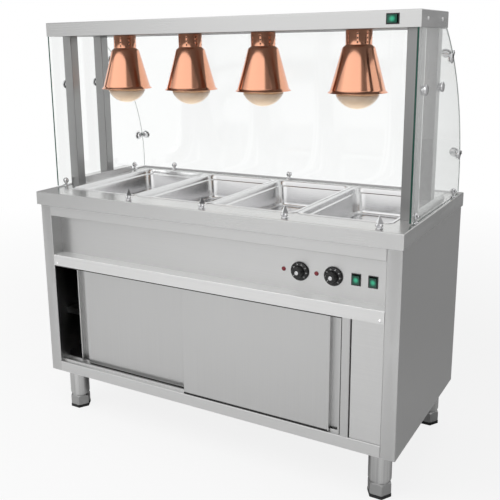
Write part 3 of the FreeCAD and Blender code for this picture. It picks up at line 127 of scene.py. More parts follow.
def arc_points(centre, radius, start, end, steps):
    """Points on an arc in two dimensions, angles in degrees."""
    points = []
    for step in range(steps + 1):
        turn = math.radians(start + (end - start) * step / steps)
        points.append((centre[0] + radius * math.cos(turn), centre[1] + radius * math.sin(turn)))
    return points


def prism(name, outline, low, high, axis="Z", bevel=0.0, sharp_angle=SMOOTH_TURN):
    """A flat outline given thickness along an axis, with eased edges."""
    shape = bmesh.new()
    order = {"X": (2, 0, 1), "Y": (0, 2, 1), "Z": (0, 1, 2)}[axis]
    layers = []
    for level in (low, high):
        layer = []
        for across, up in outline:
            flat = (across, up, level)
            layer.append(shape.verts.new([flat[index] for index in order]))
        layers.append(layer)
    shape.faces.new(layers[0])
    shape.faces.new(layers[1])
    count = len(outline)
    for step in range(count):
        follower = (step + 1) % count
        shape.faces.new((layers[0][step], layers[0][follower], layers[1][follower], layers[1][step]))
    bmesh.ops.recalc_face_normals(shape, faces=shape.faces)
    if bevel > 0:
        rim = [edge for edge in shape.edges if edge.calc_face_angle(0) > math.radians(HARD_TURN)]
        bmesh.ops.bevel(shape, geom=rim, offset=bevel, segments=2, profile=0.6, affect="EDGES")
    mesh = bpy.data.meshes.new(name)
    shape.to_mesh(mesh)
    shape.free()
    mesh.shade_smooth()
    mesh.set_sharp_from_angle(angle=math.radians(sharp_angle))
    return mesh


def block(name, low, high, bevel):
    """A box between two corners with eased edges."""
    outline = [(low[0], low[1]), (high[0], low[1]), (high[0], high[1]), (low[0], high[1])]
    return prism(name, outline, low[2], high[2], "Z", bevel)


def settle(piece, body, slot, material, *nodes):
    """Gives a piece its finish, its body and the nodes that it stands for."""
    piece.data.materials.clear()
    piece.data.materials.append(material)
    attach(piece, body)
    if nodes:
        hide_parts(*nodes)
    return piece


def islands(node):
    """Lowest and highest corner of each separate solid in a node."""
    shape = bmesh.new()
    shape.from_mesh(NODES[node].data)
    bmesh.ops.remove_doubles(shape, verts=shape.verts, dist=SAME_PLACE)
    waiting = set(shape.verts)
    found = []
    while waiting:
        front = [waiting.pop()]
        members = []
        while front:
            vertex = front.pop()
            members.append(vertex.co.copy())
            for edge in vertex.link_edges:
                other = edge.other_vert(vertex)
                if other in waiting:
                    waiting.remove(other)
                    front.append(other)
        low = Vector([min(point[axis] for point in members) for axis in range(3)])
        high = Vector([max(point[axis] for point in members) for axis in range(3)])
        found.append((low, high))
    shape.free()
    return sorted(found, key=lambda pair: (round(pair[0].x, 4), round(pair[0].y, 4)))


def centre_of(node):
    """Middle of a node's box."""
    low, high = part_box(node)
    return (low + high) / 2


def applied(piece):
    """Bakes a piece's modifiers into its mesh."""
    graph = bpy.context.evaluated_depsgraph_get()
    mesh = bpy.data.meshes.new_from_object(piece.evaluated_get(graph))
    piece.modifiers.clear()
    piece.data = mesh
    return piece


def ease_edges(piece, width):
    """Small rounding on the hard edges of a node."""
    join = piece.modifiers.new("join", "WELD")
    join.merge_threshold = SAME_PLACE
    round_off = piece.modifiers.new("round", "BEVEL")
    round_off.width = width
    round_off.segments = 2
    round_off.limit_method = "ANGLE"
    round_off.angle_limit = math.radians(HARD_TURN)
    round_off.harden_normals = True


# Shader helpers

def new_material(name):
    """A material with its node tree and its Principled shader."""
    material = bpy.data.materials.new(name)
    material.use_nodes = True
    tree = material.node_tree
    return material, tree, tree.nodes["Principled BSDF"]


def feed(tree, sockets, terms):
    """Gives each socket its term: a link from another socket, or a plain value."""
    for socket, term in zip(sockets, terms):
        if isinstance(term, bpy.types.NodeSocket):
            tree.links.new(term, socket)
        else:
            socket.default_value = term


def calculate(tree, operation, *terms):
    """Result of a Math node on numbers and sockets."""
    node = tree.nodes.new("ShaderNodeMath")
    node.operation = operation
    feed(tree, node.inputs, terms)
    return node.outputs[0]


def in_space(tree, operation, *terms):
    """Result of a Vector Math node: a number for a length or a dot product, otherwise a vector."""
    node = tree.nodes.new("ShaderNodeVectorMath")
    node.operation = operation
    feed(tree, node.inputs, terms)
    return node.outputs["Value" if operation in ("LENGTH", "DOT_PRODUCT") else "Vector"]


def ramp(tree, value, low, high, low_value=0.0, high_value=1.0):
    """Maps a value that runs between two limits to a range of its own."""
    node = tree.nodes.new("ShaderNodeMapRange")
    sockets = [node.inputs[label] for label in ("Value", "From Min", "From Max", "To Min", "To Max")]
    feed(tree, sockets, (value, low, high, low_value, high_value))
    return node.outputs["Result"]


def mix_colors(tree, share, first, second):
    """Blend of two colours by a share."""
    node = tree.nodes.new("ShaderNodeMix")
    node.data_type = "RGBA"
    feed(tree, [node.inputs[label] for label in ("Factor", "A", "B")], (share, first, second))
    return node.outputs["Result"]


def mix_shaders(tree, share, first, second):
    """Blend of two shaders by a share."""
    node = tree.nodes.new("ShaderNodeMixShader")
    feed(tree, node.inputs, (share, first, second))
    return node.outputs["Shader"]


def noise(tree, place, scale, detail):
    """Soft noise over a place, between zero and one."""
    node = tree.nodes.new("ShaderNodeTexNoise")
    feed(tree, [node.inputs[label] for label in ("Vector", "Scale", "Detail")], (place, scale, detail))
    return node.outputs["Fac"]


def either_ray(tree, first, second):
    """One for a ray of either kind, zero for the others."""
    path = tree.nodes.new("ShaderNodeLightPath")
    return calculate(tree, "MAXIMUM", path.outputs[first], path.outputs[second])


# Grain and glow, as node groups

GRAIN_ALONG_X = (2.0, 700.0, 700.0)
GRAIN_ALONG_Y = (700.0, 2.0, 700.0)
GRAIN_ALONG_Z = (700.0, 700.0, 2.0)
# coarse stretch for the legs, whose strong streaks are painted reflections running down the tube
PAINTED_REFLECTION_STREAKS_DOWN_LEG = (70.0, 70.0, 0.6)


def group_tree(name, inputs, outputs):
    """An empty node group with its sockets."""
    tree = bpy.data.node_groups.new(name, "ShaderNodeTree")
    for label, kind, value in inputs:
        socket = tree.interface.new_socket(label, in_out="INPUT", socket_type=kind)
        socket.default_value = value
    for label, kind in outputs:
        tree.interface.new_socket(label, in_out="OUTPUT", socket_type=kind)
    entry = tree.nodes.new("NodeGroupInput")
    leave = tree.nodes.new("NodeGroupOutput")
    return tree, entry, leave


def grain_tree(name, size_socket):
    """An empty grain group: its own size socket, and the inputs and outputs that all grains share."""
    return group_tree(
        name,
        [("Color", "NodeSocketColor", (0.5, 0.5, 0.5, 1)), size_socket, ("Contrast", "NodeSocketFloat", 0.1),
         ("Roughness", "NodeSocketFloat", 0.4), ("Spread", "NodeSocketFloat", 0.1)],
        [("Color", "NodeSocketColor"), ("Roughness", "NodeSocketFloat"), ("Height", "NodeSocketFloat")])


def grain_outputs(tree, entry, leave, height, signed, uneven):
    """Lightens and darkens the colour by the signed grain, and varies the roughness by the uneven one."""
    weight = calculate(tree, "MULTIPLY_ADD", signed, entry.outputs["Contrast"], 1.0)
    tint = tree.nodes.new("ShaderNodeVectorMath")
    tint.operation = "SCALE"
    feed(tree, (tint.inputs[0], tint.inputs["Scale"]), (entry.outputs["Color"], weight))
    rough = calculate(tree, "MULTIPLY_ADD", uneven, entry.outputs["Spread"], entry.outputs["Roughness"])
    for label, source in (("Color", tint.outputs[0]), ("Roughness", rough), ("Height", height)):
        tree.links.new(source, leave.inputs[label])


def brushed_group():
    """Long fine scratches along one axis, over broad soft clouding; at the legs' coarse stretch and high
    contrast they become painted reflection streaks.
    """
    tree, entry, leave = grain_tree("brushed_grain", ("Stretch", "NodeSocketVector", GRAIN_ALONG_X))
    place = tree.nodes.new("ShaderNodeTexCoord").outputs["Object"]
    drawn_out = in_space(tree, "MULTIPLY", place, entry.outputs["Stretch"])
    scratches = noise(tree, drawn_out, 1.0, 3.0)
    clouds = noise(tree, place, 3.5, 2.0)
    signed = calculate(tree, "SUBTRACT", scratches, 0.5)
    uneven = calculate(tree, "SUBTRACT", calculate(tree, "ADD", scratches, clouds), 1.0)
    grain_outputs(tree, entry, leave, scratches, signed, uneven)
    return tree


def speckle_group():
    """Fine even grain for mouldings, rubber and drawn metal."""
    tree, entry, leave = grain_tree("fine_grain", ("Scale", "NodeSocketFloat", 300.0))
    place = tree.nodes.new("ShaderNodeTexCoord").outputs["Object"]
    grain = noise(tree, place, entry.outputs["Scale"], 4.0)
    signed = calculate(tree, "SUBTRACT", grain, 0.5)
    grain_outputs(tree, entry, leave, grain, signed, signed)
    return tree


def lamp_behind_group():
    """Light from a lamp behind a lens or a bulb's face, from the core colour out to the rim colour."""
    tree, entry, leave = group_tree(
        "lamp_behind",
        [("Across", "NodeSocketVector", (1.0, 0.0, 1.0)), ("Core", "NodeSocketFloat", 0.1),
         ("Rim", "NodeSocketFloat", 0.5), ("Core Color", "NodeSocketColor", (1, 1, 1, 1)),
         ("Rim Color", "NodeSocketColor", (0, 0, 0, 1))],
        [("Color", "NodeSocketColor")])
    place = tree.nodes.new("ShaderNodeTexCoord").outputs["Generated"]
    from_middle = in_space(tree, "SUBTRACT", place, (0.5, 0.5, 0.5))
    flat = in_space(tree, "MULTIPLY", from_middle, entry.outputs["Across"])
    reach = in_space(tree, "LENGTH", flat)
    share = ramp(tree, reach, entry.outputs["Core"], entry.outputs["Rim"], 1.0, 0.0)
    light = mix_colors(tree, share, entry.outputs["Rim Color"], entry.outputs["Core Color"])
    tree.links.new(light, leave.inputs["Color"])
    return tree


BRUSHED = brushed_group()
SPECKLE = speckle_group()
LAMP_BEHIND = lamp_behind_group()


# Finishes

def add_group(tree, group, values):
    """Places a node group with its own values."""
    node = tree.nodes.new("ShaderNodeGroup")
    node.node_tree = group
    for label, value in values.items():
        node.inputs[label].default_value = value
    return node


def grain_onto(tree, shader, group, values):
    """Feeds a shader's colour and roughness from a grain group."""
    grain = add_group(tree, group, values)
    tree.links.new(grain.outputs["Color"], shader.inputs["Base Color"])
    tree.links.new(grain.outputs["Roughness"], shader.inputs["Roughness"])
    return grain


def steel(name, tone, stretch, roughness, contrast=0.1, spread=0.06, streak=0.75, metallic=1.0):
    """Brushed stainless sheet, whose highlights draw out across the grain."""
    material, tree, shader = new_material(name)
    grain_onto(tree, shader, BRUSHED, {"Color": (tone, tone, tone * 0.995, 1), "Stretch": stretch,
                                       "Contrast": contrast, "Roughness": roughness, "Spread": spread})
    shader.inputs["Metallic"].default_value = metallic
    shader.inputs["Anisotropic"].default_value = streak
    across = tree.nodes.new("ShaderNodeTangent")
    across.direction_type = "RADIAL"
    across.axis = "XYZ"[stretch.index(min(stretch))]
    tree.links.new(across.outputs["Tangent"], shader.inputs["Tangent"])
    return material


def grained(name, color, scale, contrast, roughness, spread, metallic=0.0, relief=0.0):
    """Moulded, coated or drawn surface with a fine even grain, raised where relief is given."""
    material, tree, shader = new_material(name)
    grain = grain_onto(tree, shader, SPECKLE, {"Color": (*color, 1), "Scale": scale, "Contrast": contrast,
                                               "Roughness": roughness, "Spread": spread})
    shader.inputs["Metallic"].default_value = metallic
    if relief > 0:
        bump = tree.nodes.new("ShaderNodeBump")
        bump.inputs["Strength"].default_value = relief
        bump.inputs["Distance"].default_value = 0.2 * MM
        tree.links.new(grain.outputs["Height"], bump.inputs["Height"])
        tree.links.new(bump.outputs["Normal"], shader.inputs["Normal"])
    return material


def glass(name, tint):
    """Clear sheet with a faint smear; shadow and diffuse rays go straight through."""
    material, tree, shader = new_material(name)
    for label, value in (("Roughness", 0.0), ("IOR", 1.5), ("Transmission Weight", 1.0)):
        shader.inputs[label].default_value = value
    smear = add_group(tree, SPECKLE, {"Color": (*tint, 1), "Scale": 6.0, "Contrast": 0.01})
    tree.links.new(smear.outputs["Color"], shader.inputs["Base Color"])
    clear = tree.nodes.new("ShaderNodeBsdfTransparent")
    passing = either_ray(tree, "Is Shadow Ray", "Is Diffuse Ray")
    blend = mix_shaders(tree, passing, shader.outputs["BSDF"], clear.outputs["BSDF"])
    tree.links.new(blend, tree.nodes["Material Output"].inputs["Surface"])
    return material


def lit_face(name, grain, coat, light, strength):
    """Coated face with a lamp behind its middle."""
    material, tree, shader = new_material(name)
    grain_onto(tree, shader, SPECKLE, grain)
    shader.inputs["Coat Weight"].default_value = coat
    glow = add_group(tree, LAMP_BEHIND, light)
    tree.links.new(glow.outputs["Color"], shader.inputs["Emission Color"])
    shader.inputs["Emission Strength"].default_value = strength
    return material


def lens(name, color, glow, strength, reach=0.75):
    """Coloured moulded lens that faces along Y; reach is how far its light spreads."""
    core = 0.12
    dim = [part * 0.2 for part in color]
    grain = {"Color": (*color, 1), "Scale": 120.0, "Contrast": 0.25, "Roughness": 0.16, "Spread": 0.05}
    light = {"Across": (1.0, 0.0, 1.0), "Core": core, "Rim": core + reach / 2,
             "Core Color": (*glow, 1), "Rim Color": (*dim, 1)}
    return lit_face(name, grain, 0.3, light, strength)


def frosted_face(name):
    """Frosted bulb face that looks down, warmest where the filament sits behind it."""
    grain = {"Color": (0.62, 0.48, 0.37, 1), "Scale": 60.0, "Roughness": 0.18}
    light = {"Across": (1.0, 1.0, 0.0), "Core": 0.14, "Rim": 0.49,
             "Core Color": (1.0, 0.78, 0.56, 1), "Rim Color": (0.07, 0.05, 0.035, 1)}
    return lit_face(name, grain, 0.5, light, 0.9)


def hot_wire(name):
    """Glowing filament."""
    material, tree, shader = new_material(name)
    grain = add_group(tree, SPECKLE, {"Color": (1.0, 0.86, 0.6, 1), "Scale": 90.0})
    for label in ("Base Color", "Emission Color"):
        tree.links.new(grain.outputs["Color"], shader.inputs[label])
    shader.inputs["Emission Strength"].default_value = 3.0
    return material


# Steel: name, tone, grain, roughness. Grained: name, colour, scale, contrast, roughness, spread, metallic.
FINISH = {
    "front": steel("brushed_front_sheet", 0.70, GRAIN_ALONG_X, 0.36),
    "ledge": steel("satin_ledge_sheet", 0.74, GRAIN_ALONG_X, 0.36, metallic=0.62),
    "door": steel("brushed_door_sheet", 0.64, GRAIN_ALONG_Z, 0.34),
    # sides toned a little below the front: a light painted shade on the end and rear sheets
    "side": steel("brushed_side_sheet_painted_shade", 0.63, GRAIN_ALONG_Y, 0.38),
    "top": steel("brushed_top_sheet", 0.72, GRAIN_ALONG_X, 0.26),
    # the beam's underside toned dark: painted shade on a face that looks down
    "under": steel("brushed_underside_sheet_painted_shade", 0.3, GRAIN_ALONG_X, 0.45),
    # posts toned far below the sheets: painted shade on the gantry posts
    "post": steel("brushed_post_tube_painted_shade", 0.33, GRAIN_ALONG_Z, 0.30),
    # inner steel toned far below the outer sheets: painted shade inside the cupboard and the well, and on the
    # leg plates
    "inside": steel("brushed_inner_sheet_painted_shade", 0.3, GRAIN_ALONG_X, 0.42),
    # painted reflections: the high contrast draws dark and bright streaks down the leg tubes
    "leg": steel("polished_leg_tube_painted_reflections", 0.62, PAINTED_REFLECTION_STREAKS_DOWN_LEG, 0.14, contrast=1.2, spread=0.1, streak=0.0),
    "hexagon": steel("turned_foot_steel", 0.45, GRAIN_ALONG_X, 0.32),
    "pan": grained("drawn_pan_steel", (0.74, 0.74, 0.745), 60.0, 0.05, 0.2, 0.08, 1.0),
    "polished": grained("polished_steel", (0.8, 0.8, 0.81), 45.0, 0.04, 0.09, 0.05, 1.0),
    "bright": grained("bright_screw_metal", (0.95, 0.95, 0.95), 80.0, 0.05, 0.25, 0.05, 0.3),
    "copper": grained("polished_copper", (0.87, 0.43, 0.28), 30.0, 0.06, 0.15, 0.05, 1.0),
    "mirror": grained("silvered_reflector", (0.95, 0.86, 0.72), 40.0, 0.05, 0.12, 0.05, 1.0),
    "element": grained("dark_sheath", (0.22, 0.2, 0.18), 120.0, 0.3, 0.4, 0.15, 1.0),
    "brass": grained("plain_brass", (0.72, 0.5, 0.2), 150.0, 0.1, 0.28, 0.1, 1.0),
    "lever": grained("red_dipped_lever", (0.5, 0.02, 0.02), 150.0, 0.1, 0.35, 0.1),
    "rubber": grained("black_rubber", (0.012, 0.012, 0.012), 500.0, 0.5, 0.6, 0.2, relief=0.3),
    "black": grained("black_moulding", (0.008, 0.008, 0.008), 400.0, 0.3, 0.2, 0.08),
    "print": grained("pale_print", (0.7, 0.7, 0.7), 600.0, 0.2, 0.5, 0.1),
    "ceramic": grained("white_porcelain", (0.8, 0.78, 0.74), 90.0, 0.05, 0.25, 0.05),
    "nylon": grained("natural_nylon", (0.75, 0.75, 0.7), 200.0, 0.1, 0.45, 0.1),
    # near-black green for the panes' front edges: painted shade over the glass edge's own green
    "edge_painted_shade": grained("green_glass_edge_painted_shade", (0.008, 0.05, 0.035), 200.0, 0.1, 0.1, 0.05),
    "pale_edge": grained("pale_green_glass_edge", (0.34, 0.42, 0.39), 200.0, 0.1, 0.15, 0.05),
    "red": lens("red_lens", (0.16, 0.004, 0.012), (0.3, 0.01, 0.04), 0.3),
    "green": lens("green_lens", (0.0, 0.05, 0.03), (0.03, 0.5, 0.27), 0.7, reach=0.5),
    "frost": frosted_face("frosted_bulb_face"),
    "glow": hot_wire("warm_filament"),
    "pane": glass("clear_pane", (0.985, 0.995, 0.99)),
    "bulb": glass("bulb_glass", (1.0, 0.97, 0.9)),
}


# CAD nodes that keep their shape

EASED_EDGE = 0.4 * MM


def dress_nodes():
    """Materials for the nodes whose shape stays."""
    groups = {
        "ledge": ["ledge_rail", "door_track"],
        "front": ["top_rail", "bottom_rail", "control_fascia", "service_panel"],
        "door": ["door_left", "door_right", "divider_wall"],
        "side": ["side_panel_left", "side_panel_right", "rear_panel"],
        "top": ["worktop", "beam_cover", "base_rails"],
        "under": ["beam_plate"],
        "post": ["front_posts", "rear_posts"],
        "inside": ["cupboard_floor", "shelf", "shelf_brackets", "well_tank", "pan_bars"],
        "pan": ["pan_1", "pan_2", "pan_3", "pan_4"],
        "polished": ["legs", "glass_connectors", "standoffs", "worktop_clips", "screws"],
        "hexagon": ["foot_front_left", "foot_front_right", "foot_rear_left", "foot_rear_right"],
        "nylon": ["door_glides_left", "door_glides_right"],
        "element": ["well_element", "cupboard_element"],
        "brass": ["drain_valve"],
        "lever": ["drain_lever"],
        "black": ["knob_well", "knob_cupboard", "switch_bodies", "thermostats", "cable_gland"],
        "red": ["pilot_lights"],
        "green": ["rocker_well", "rocker_cupboard", "rocker_lamps"],
        "copper": ["lamp_shade_1", "lamp_shade_2", "lamp_shade_3", "lamp_shade_4"],
        "ceramic": ["lampholders"],
        "bulb": ["heat_bulbs"],
        "pane": ["side_glass_left", "side_glass_right", "curved_glass"],
    }
    for finish, names in groups.items():
        for name in names:
            NODES[name].data.materials.clear()
            NODES[name].data.materials.append(FINISH[finish])
    for name in ("beam_cover", "worktop", "front_posts", "rear_posts", "base_rails", "switch_bodies",
                 "door_left", "door_right", "service_panel", "rocker_well", "rocker_cupboard",
                 "rocker_lamps", "drain_lever", "thermostats"):
        ease_edges(NODES[name], EASED_EDGE)


# Heat lamps

SHADE_SHEET = 1.2 * MM
NECK_HEIGHT = 48 * MM
NECK_RADIUS = 42 * MM
SHOULDER_RADIUS = 52 * MM
SHOULDER_DROP = 8 * MM
CONE_RADIUS = 89 * MM
VENT_RADIUS = 2.6 * MM
VENT_PITCH = 13 * MM
VENT_COLUMNS = 8
VENT_ROWS = 3
VENT_START = 15
HOLDER_HOLE = 25.2 * MM
SHADE_TURN = 50
LAMPS = 4

BULB_CAP_RADIUS = 14 * MM
BULB_FACE_DROP = 53 * MM
GIRDLE_ABOVE = 8 * MM
GIRDLE_BELOW = 10 * MM
BULB_STEPS = 64
FILAMENT_TURNS = 14
FILAMENT_SWEEP = 270
FILAMENT_REACH = 16 * MM
FILAMENT_COIL = 2.2 * MM
FILAMENT_WIRE = 1.1 * MM


def shade_mesh(height, rim_radius):
    """Spun shade: plain neck, rolled shoulder, long cone and an out-turned rim; the vents are cut afterwards.
    """
    cone_end = -height + 6 * MM
    shoulder = -NECK_HEIGHT - SHOULDER_DROP
    outside = [
        (HOLDER_HOLE, -0.2 * MM), (NECK_RADIUS - 2 * MM, -0.2 * MM), (NECK_RADIUS - 0.6 * MM, -0.8 * MM),
        (NECK_RADIUS, -2 * MM), (NECK_RADIUS, -NECK_HEIGHT + 2 * MM), (NECK_RADIUS + 0.6 * MM, -NECK_HEIGHT),
        (NECK_RADIUS + 4 * MM, -NECK_HEIGHT - 2.4 * MM), (SHOULDER_RADIUS - 2 * MM, shoulder + 2.2 * MM),
        (SHOULDER_RADIUS - 0.4 * MM, shoulder + 0.4 * MM), (SHOULDER_RADIUS + 0.6 * MM, shoulder - 2 * MM),
        (CONE_RADIUS - 1 * MM, cone_end + 4 * MM), (CONE_RADIUS + 0.6 * MM, cone_end + 0.6 * MM),
        (CONE_RADIUS + 3 * MM, cone_end - 1.6 * MM), (rim_radius - 0.8 * MM, -height + 1.0 * MM),
        (rim_radius, -height), (rim_radius - 0.8 * MM, -height - 0.5 * MM),
    ]
    inside = [(radius - SHADE_SHEET, height_at - SHADE_SHEET / 2) for radius, height_at in outside[1:13]]
    inside.reverse()
    profile = outside + inside + [(HOLDER_HOLE, -0.2 * MM - SHADE_SHEET), outside[0]]
    return lathe("copper_shade", profile, 128, SHADE_TURN)


def pierce(piece):
    """Columns of vent holes through the neck."""
    holes = bmesh.new()
    for column in range(VENT_COLUMNS):
        turn = 2 * math.pi * column / VENT_COLUMNS + math.radians(VENT_START)
        for row in range(VENT_ROWS):
            made = bmesh.ops.create_cone(holes, cap_ends=True, segments=16, radius1=VENT_RADIUS,
                                         radius2=VENT_RADIUS, depth=NECK_RADIUS * 0.5)
            spot = Vector((math.cos(turn) * NECK_RADIUS, math.sin(turn) * NECK_RADIUS,
                           -VENT_PITCH * (row + 1)))
            outward = Vector((math.cos(turn), math.sin(turn), 0)).to_track_quat("Z", "Y")
            bmesh.ops.rotate(holes, verts=made["verts"], matrix=outward.to_matrix())
            bmesh.ops.translate(holes, verts=made["verts"], vec=spot)
    mesh = bpy.data.meshes.new("vent_cutters")
    holes.to_mesh(mesh)
    holes.free()
    cutter = make_object("vent_cutters", mesh)
    cut = piece.modifiers.new("vents", "BOOLEAN")
    cut.object = cutter
    cut.solver = "EXACT"
    applied(piece)
    bpy.data.objects.remove(cutter)
    piece.data.shade_smooth()
    piece.data.set_sharp_from_angle(angle=math.radians(SHADE_TURN))


def lamps():
    """Shades, and bulbs with their silvered backs, frosted faces and filaments."""
    low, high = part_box("lamp_shade_1")
    height = high.z - low.z - SHADE_SHEET / 2
    rim_radius = (high.x - low.x) / 2
    pattern = make_object("copper_shade_pattern", shade_mesh(height, rim_radius))
    pierce(pattern)
    bulb_low, bulb_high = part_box("heat_bulbs")
    envelope, mirror, frost, coil = bulb_meshes((bulb_high.y - bulb_low.y) / 2, bulb_high.z - bulb_low.z)
    for number in range(1, LAMPS + 1):
        node = "lamp_shade_%d" % number
        middle = centre_of(node)
        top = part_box(node)[1].z
        shade = make_object("copper_shade_%d" % number, pattern.data.copy(), (middle.x, middle.y, top))
        settle(shade, "counter", "copper", FINISH["copper"], node)
        at = (middle.x, middle.y, bulb_high.z)
        bulb = make_object("bulb_envelope_%d" % number, envelope.copy(), at)
        settle(bulb, "counter", "bulb_glass", FINISH["bulb"], "heat_bulbs")
        back = make_object("bulb_reflector_%d" % number, mirror.copy(), at)
        settle(back, "counter", "bulb_glass", FINISH["mirror"])
        face = make_object("bulb_face_%d" % number, frost.copy(), at)
        settle(face, "counter", "bulb_glass", FINISH["frost"])
        wire = make_object("bulb_filament_%d" % number, coil.copy(), at)
        settle(wire, "counter", "bulb_glass", FINISH["glow"])
    bpy.data.objects.remove(pattern)


def bulb_meshes(radius, length):
    """Envelope, silvered back, frosted face and filament of one reflector bulb, from its cap down."""
    rim = -length + BULB_FACE_DROP
    neck = BULB_CAP_RADIUS
    outer = [(0, 0), (neck, 0), (neck, -30 * MM), (neck * 1.25, -38 * MM), (radius * 0.5, -62 * MM),
             (radius * 0.75, -88 * MM), (radius * 0.93, rim + 30 * MM), (radius, rim + GIRDLE_ABOVE),
             (radius, rim - GIRDLE_BELOW)]
    sag = BULB_FACE_DROP - GIRDLE_BELOW
    dome = (radius * radius + sag * sag) / (2 * sag)
    start = math.degrees(math.asin(min(1.0, radius / dome)))
    arc = arc_points((0, dome - length), dome, start - 90, -90, 16)
    face = [(max(across, 0), up) for across, up in arc]
    envelope = lathe("bulb_envelope", outer + face, BULB_STEPS, 50)
    shell = [(neck * 0.9, -31 * MM), (neck * 1.15, -39 * MM), (radius * 0.47, -63 * MM),
             (radius * 0.71, -89 * MM), (radius * 0.88, rim + 30 * MM), (radius * 0.95, rim + 9 * MM)]
    inner = [(across - 0.8 * MM, up + 0.4 * MM) for across, up in reversed(shell)]
    mirror = lathe("bulb_reflector", shell + inner + [shell[0]], BULB_STEPS, 50)
    skin = [(across * 0.965, up + 2.2 * MM) for across, up in face]
    back = [(across * 0.985, up + 0.6 * MM) for across, up in reversed(skin)]
    frost = lathe("bulb_face", skin + [(0, skin[-1][1] + 0.6 * MM)] + back[1:] + [skin[0]], BULB_STEPS, 60)
    points = []
    steps = FILAMENT_TURNS * 10
    for step in range(steps + 1):
        sweep = math.radians(FILAMENT_SWEEP * step / steps - 45)
        twist = 2 * math.pi * FILAMENT_TURNS * step / steps
        reach = FILAMENT_REACH + FILAMENT_COIL * math.cos(twist)
        points.append(Vector((reach * math.cos(sweep), reach * math.sin(sweep),
                              rim + 4 * MM + FILAMENT_COIL * math.sin(twist))))
    return envelope, mirror, frost, wire_mesh("bulb_filament", points, FILAMENT_WIRE, 8)


def wire_mesh(name, path, radius, sides):
    """A round wire along a path of points."""
    points = []
    for index, spot in enumerate(path):
        ahead = path[min(index + 1, len(path) - 1)] - path[max(index - 1, 0)]
        quarter = ahead.normalized().to_track_quat("Z", "Y")
        for side in range(sides):
            turn = 2 * math.pi * side / sides
            points.append(spot + quarter @ Vector((radius * math.cos(turn), radius * math.sin(turn), 0)))
    faces = loft_faces(len(path), sides)
    faces.append(tuple(range(sides)))
    faces.append(tuple(range((len(path) - 1) * sides, len(path) * sides)))
    return make_mesh(name, points, faces)


# Pans

PAN_RIM = 11 * MM
PAN_SHEET = 0.8 * MM
PAN_TURN = 60
PANS = 4


def pan_mesh(half_x, half_y, depth):
    """Drawn pan: turned-down rim, stacking step, sloped walls and a dished floor."""
    rim = PAN_RIM
    inner = [
        (0.0, 0.2 * MM, 22 * MM), (0.3 * MM, 1.5 * MM, 22 * MM), (1.4 * MM, 2.2 * MM, 21 * MM),
        (rim - 3 * MM, 2.2 * MM, 20 * MM), (rim - 0.6 * MM, 1.2 * MM, 24 * MM),
        (rim + 0.8 * MM, -1.6 * MM, 28 * MM), (rim + 1.2 * MM, -16 * MM, 30 * MM),
        (rim + 2.0 * MM, -18.5 * MM, 31 * MM), (rim + 4.2 * MM, -20 * MM, 33 * MM),
        (rim + 5.0 * MM, -22.5 * MM, 34 * MM), (rim + 9 * MM, -depth + 16 * MM, 38 * MM),
        (rim + 10.6 * MM, -depth + 8 * MM, 38 * MM), (rim + 14 * MM, -depth + 3 * MM, 36 * MM),
        (rim + 20 * MM, -depth + 1.2 * MM, 32 * MM), (rim + 60 * MM, -depth + 0.8 * MM, 20 * MM),
    ]
    points = []
    for inset, height, corner in inner:
        ring = rounded_rectangle(half_x - inset, half_y - inset, corner)
        points += [(across, along, height) for across, along in ring]
    count = len(ring)
    faces = loft_faces(len(inner), count)
    faces.append(tuple(range(len(points) - count, len(points))))
    mesh = make_mesh("pan_skin", points, faces, PAN_TURN)
    piece = make_object("pan_skin", mesh)
    thick = piece.modifiers.new("sheet", "SOLIDIFY")
    thick.thickness = PAN_SHEET
    thick.offset = -1
    applied(piece)
    made = piece.data
    made.shade_smooth()
    made.set_sharp_from_angle(angle=math.radians(PAN_TURN))
    bpy.data.objects.remove(piece)
    return made


def pans():
    """One gastronorm pan for each pan node."""
    low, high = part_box("pan_1")
    half_x = (high.x - low.x) / 2
    half_y = (high.y - low.y) / 2
    top = high.z - 1 * MM
    mesh = pan_mesh(half_x, half_y, top - low.z)
    for number in range(1, PANS + 1):
        node = "pan_%d" % number
        middle = centre_of(node)
        piece = make_object("gastronorm_pan_%d" % number, mesh.copy(), (middle.x, middle.y, top))
        settle(piece, node, "satin_pan", FINISH["pan"], node)


# Legs and feet

LEG_RADIUS = 38.5 * MM
LEG_WALL = 1.5 * MM
LEG_PLATE = 80 * MM
LEG_PLATE_SHEET = 3 * MM
STEM_HOLE = 8.4 * MM
FOOT_FLATS = 70 * MM
PAD_HEIGHT = 12 * MM
PAD_OVERSIZE = 1.028
THREAD_RADIUS = 7.9 * MM
THREAD_ROOT = 7.0 * MM
THREAD_LENGTH = 60 * MM
THREAD_TURNS = 24


def legs():
    """Polished tubes with a turned-in toe, hexagonal screw feet and black pads."""
    for number, name in enumerate(("front_left", "front_right", "rear_left", "rear_right"), 1):
        node = "foot_" + name
        middle = centre_of(node)
        tube_low, plate_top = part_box("legs")
        tube(number, middle, tube_low.z, plate_top.z)
        foot(name, middle, node, tube_low.z)


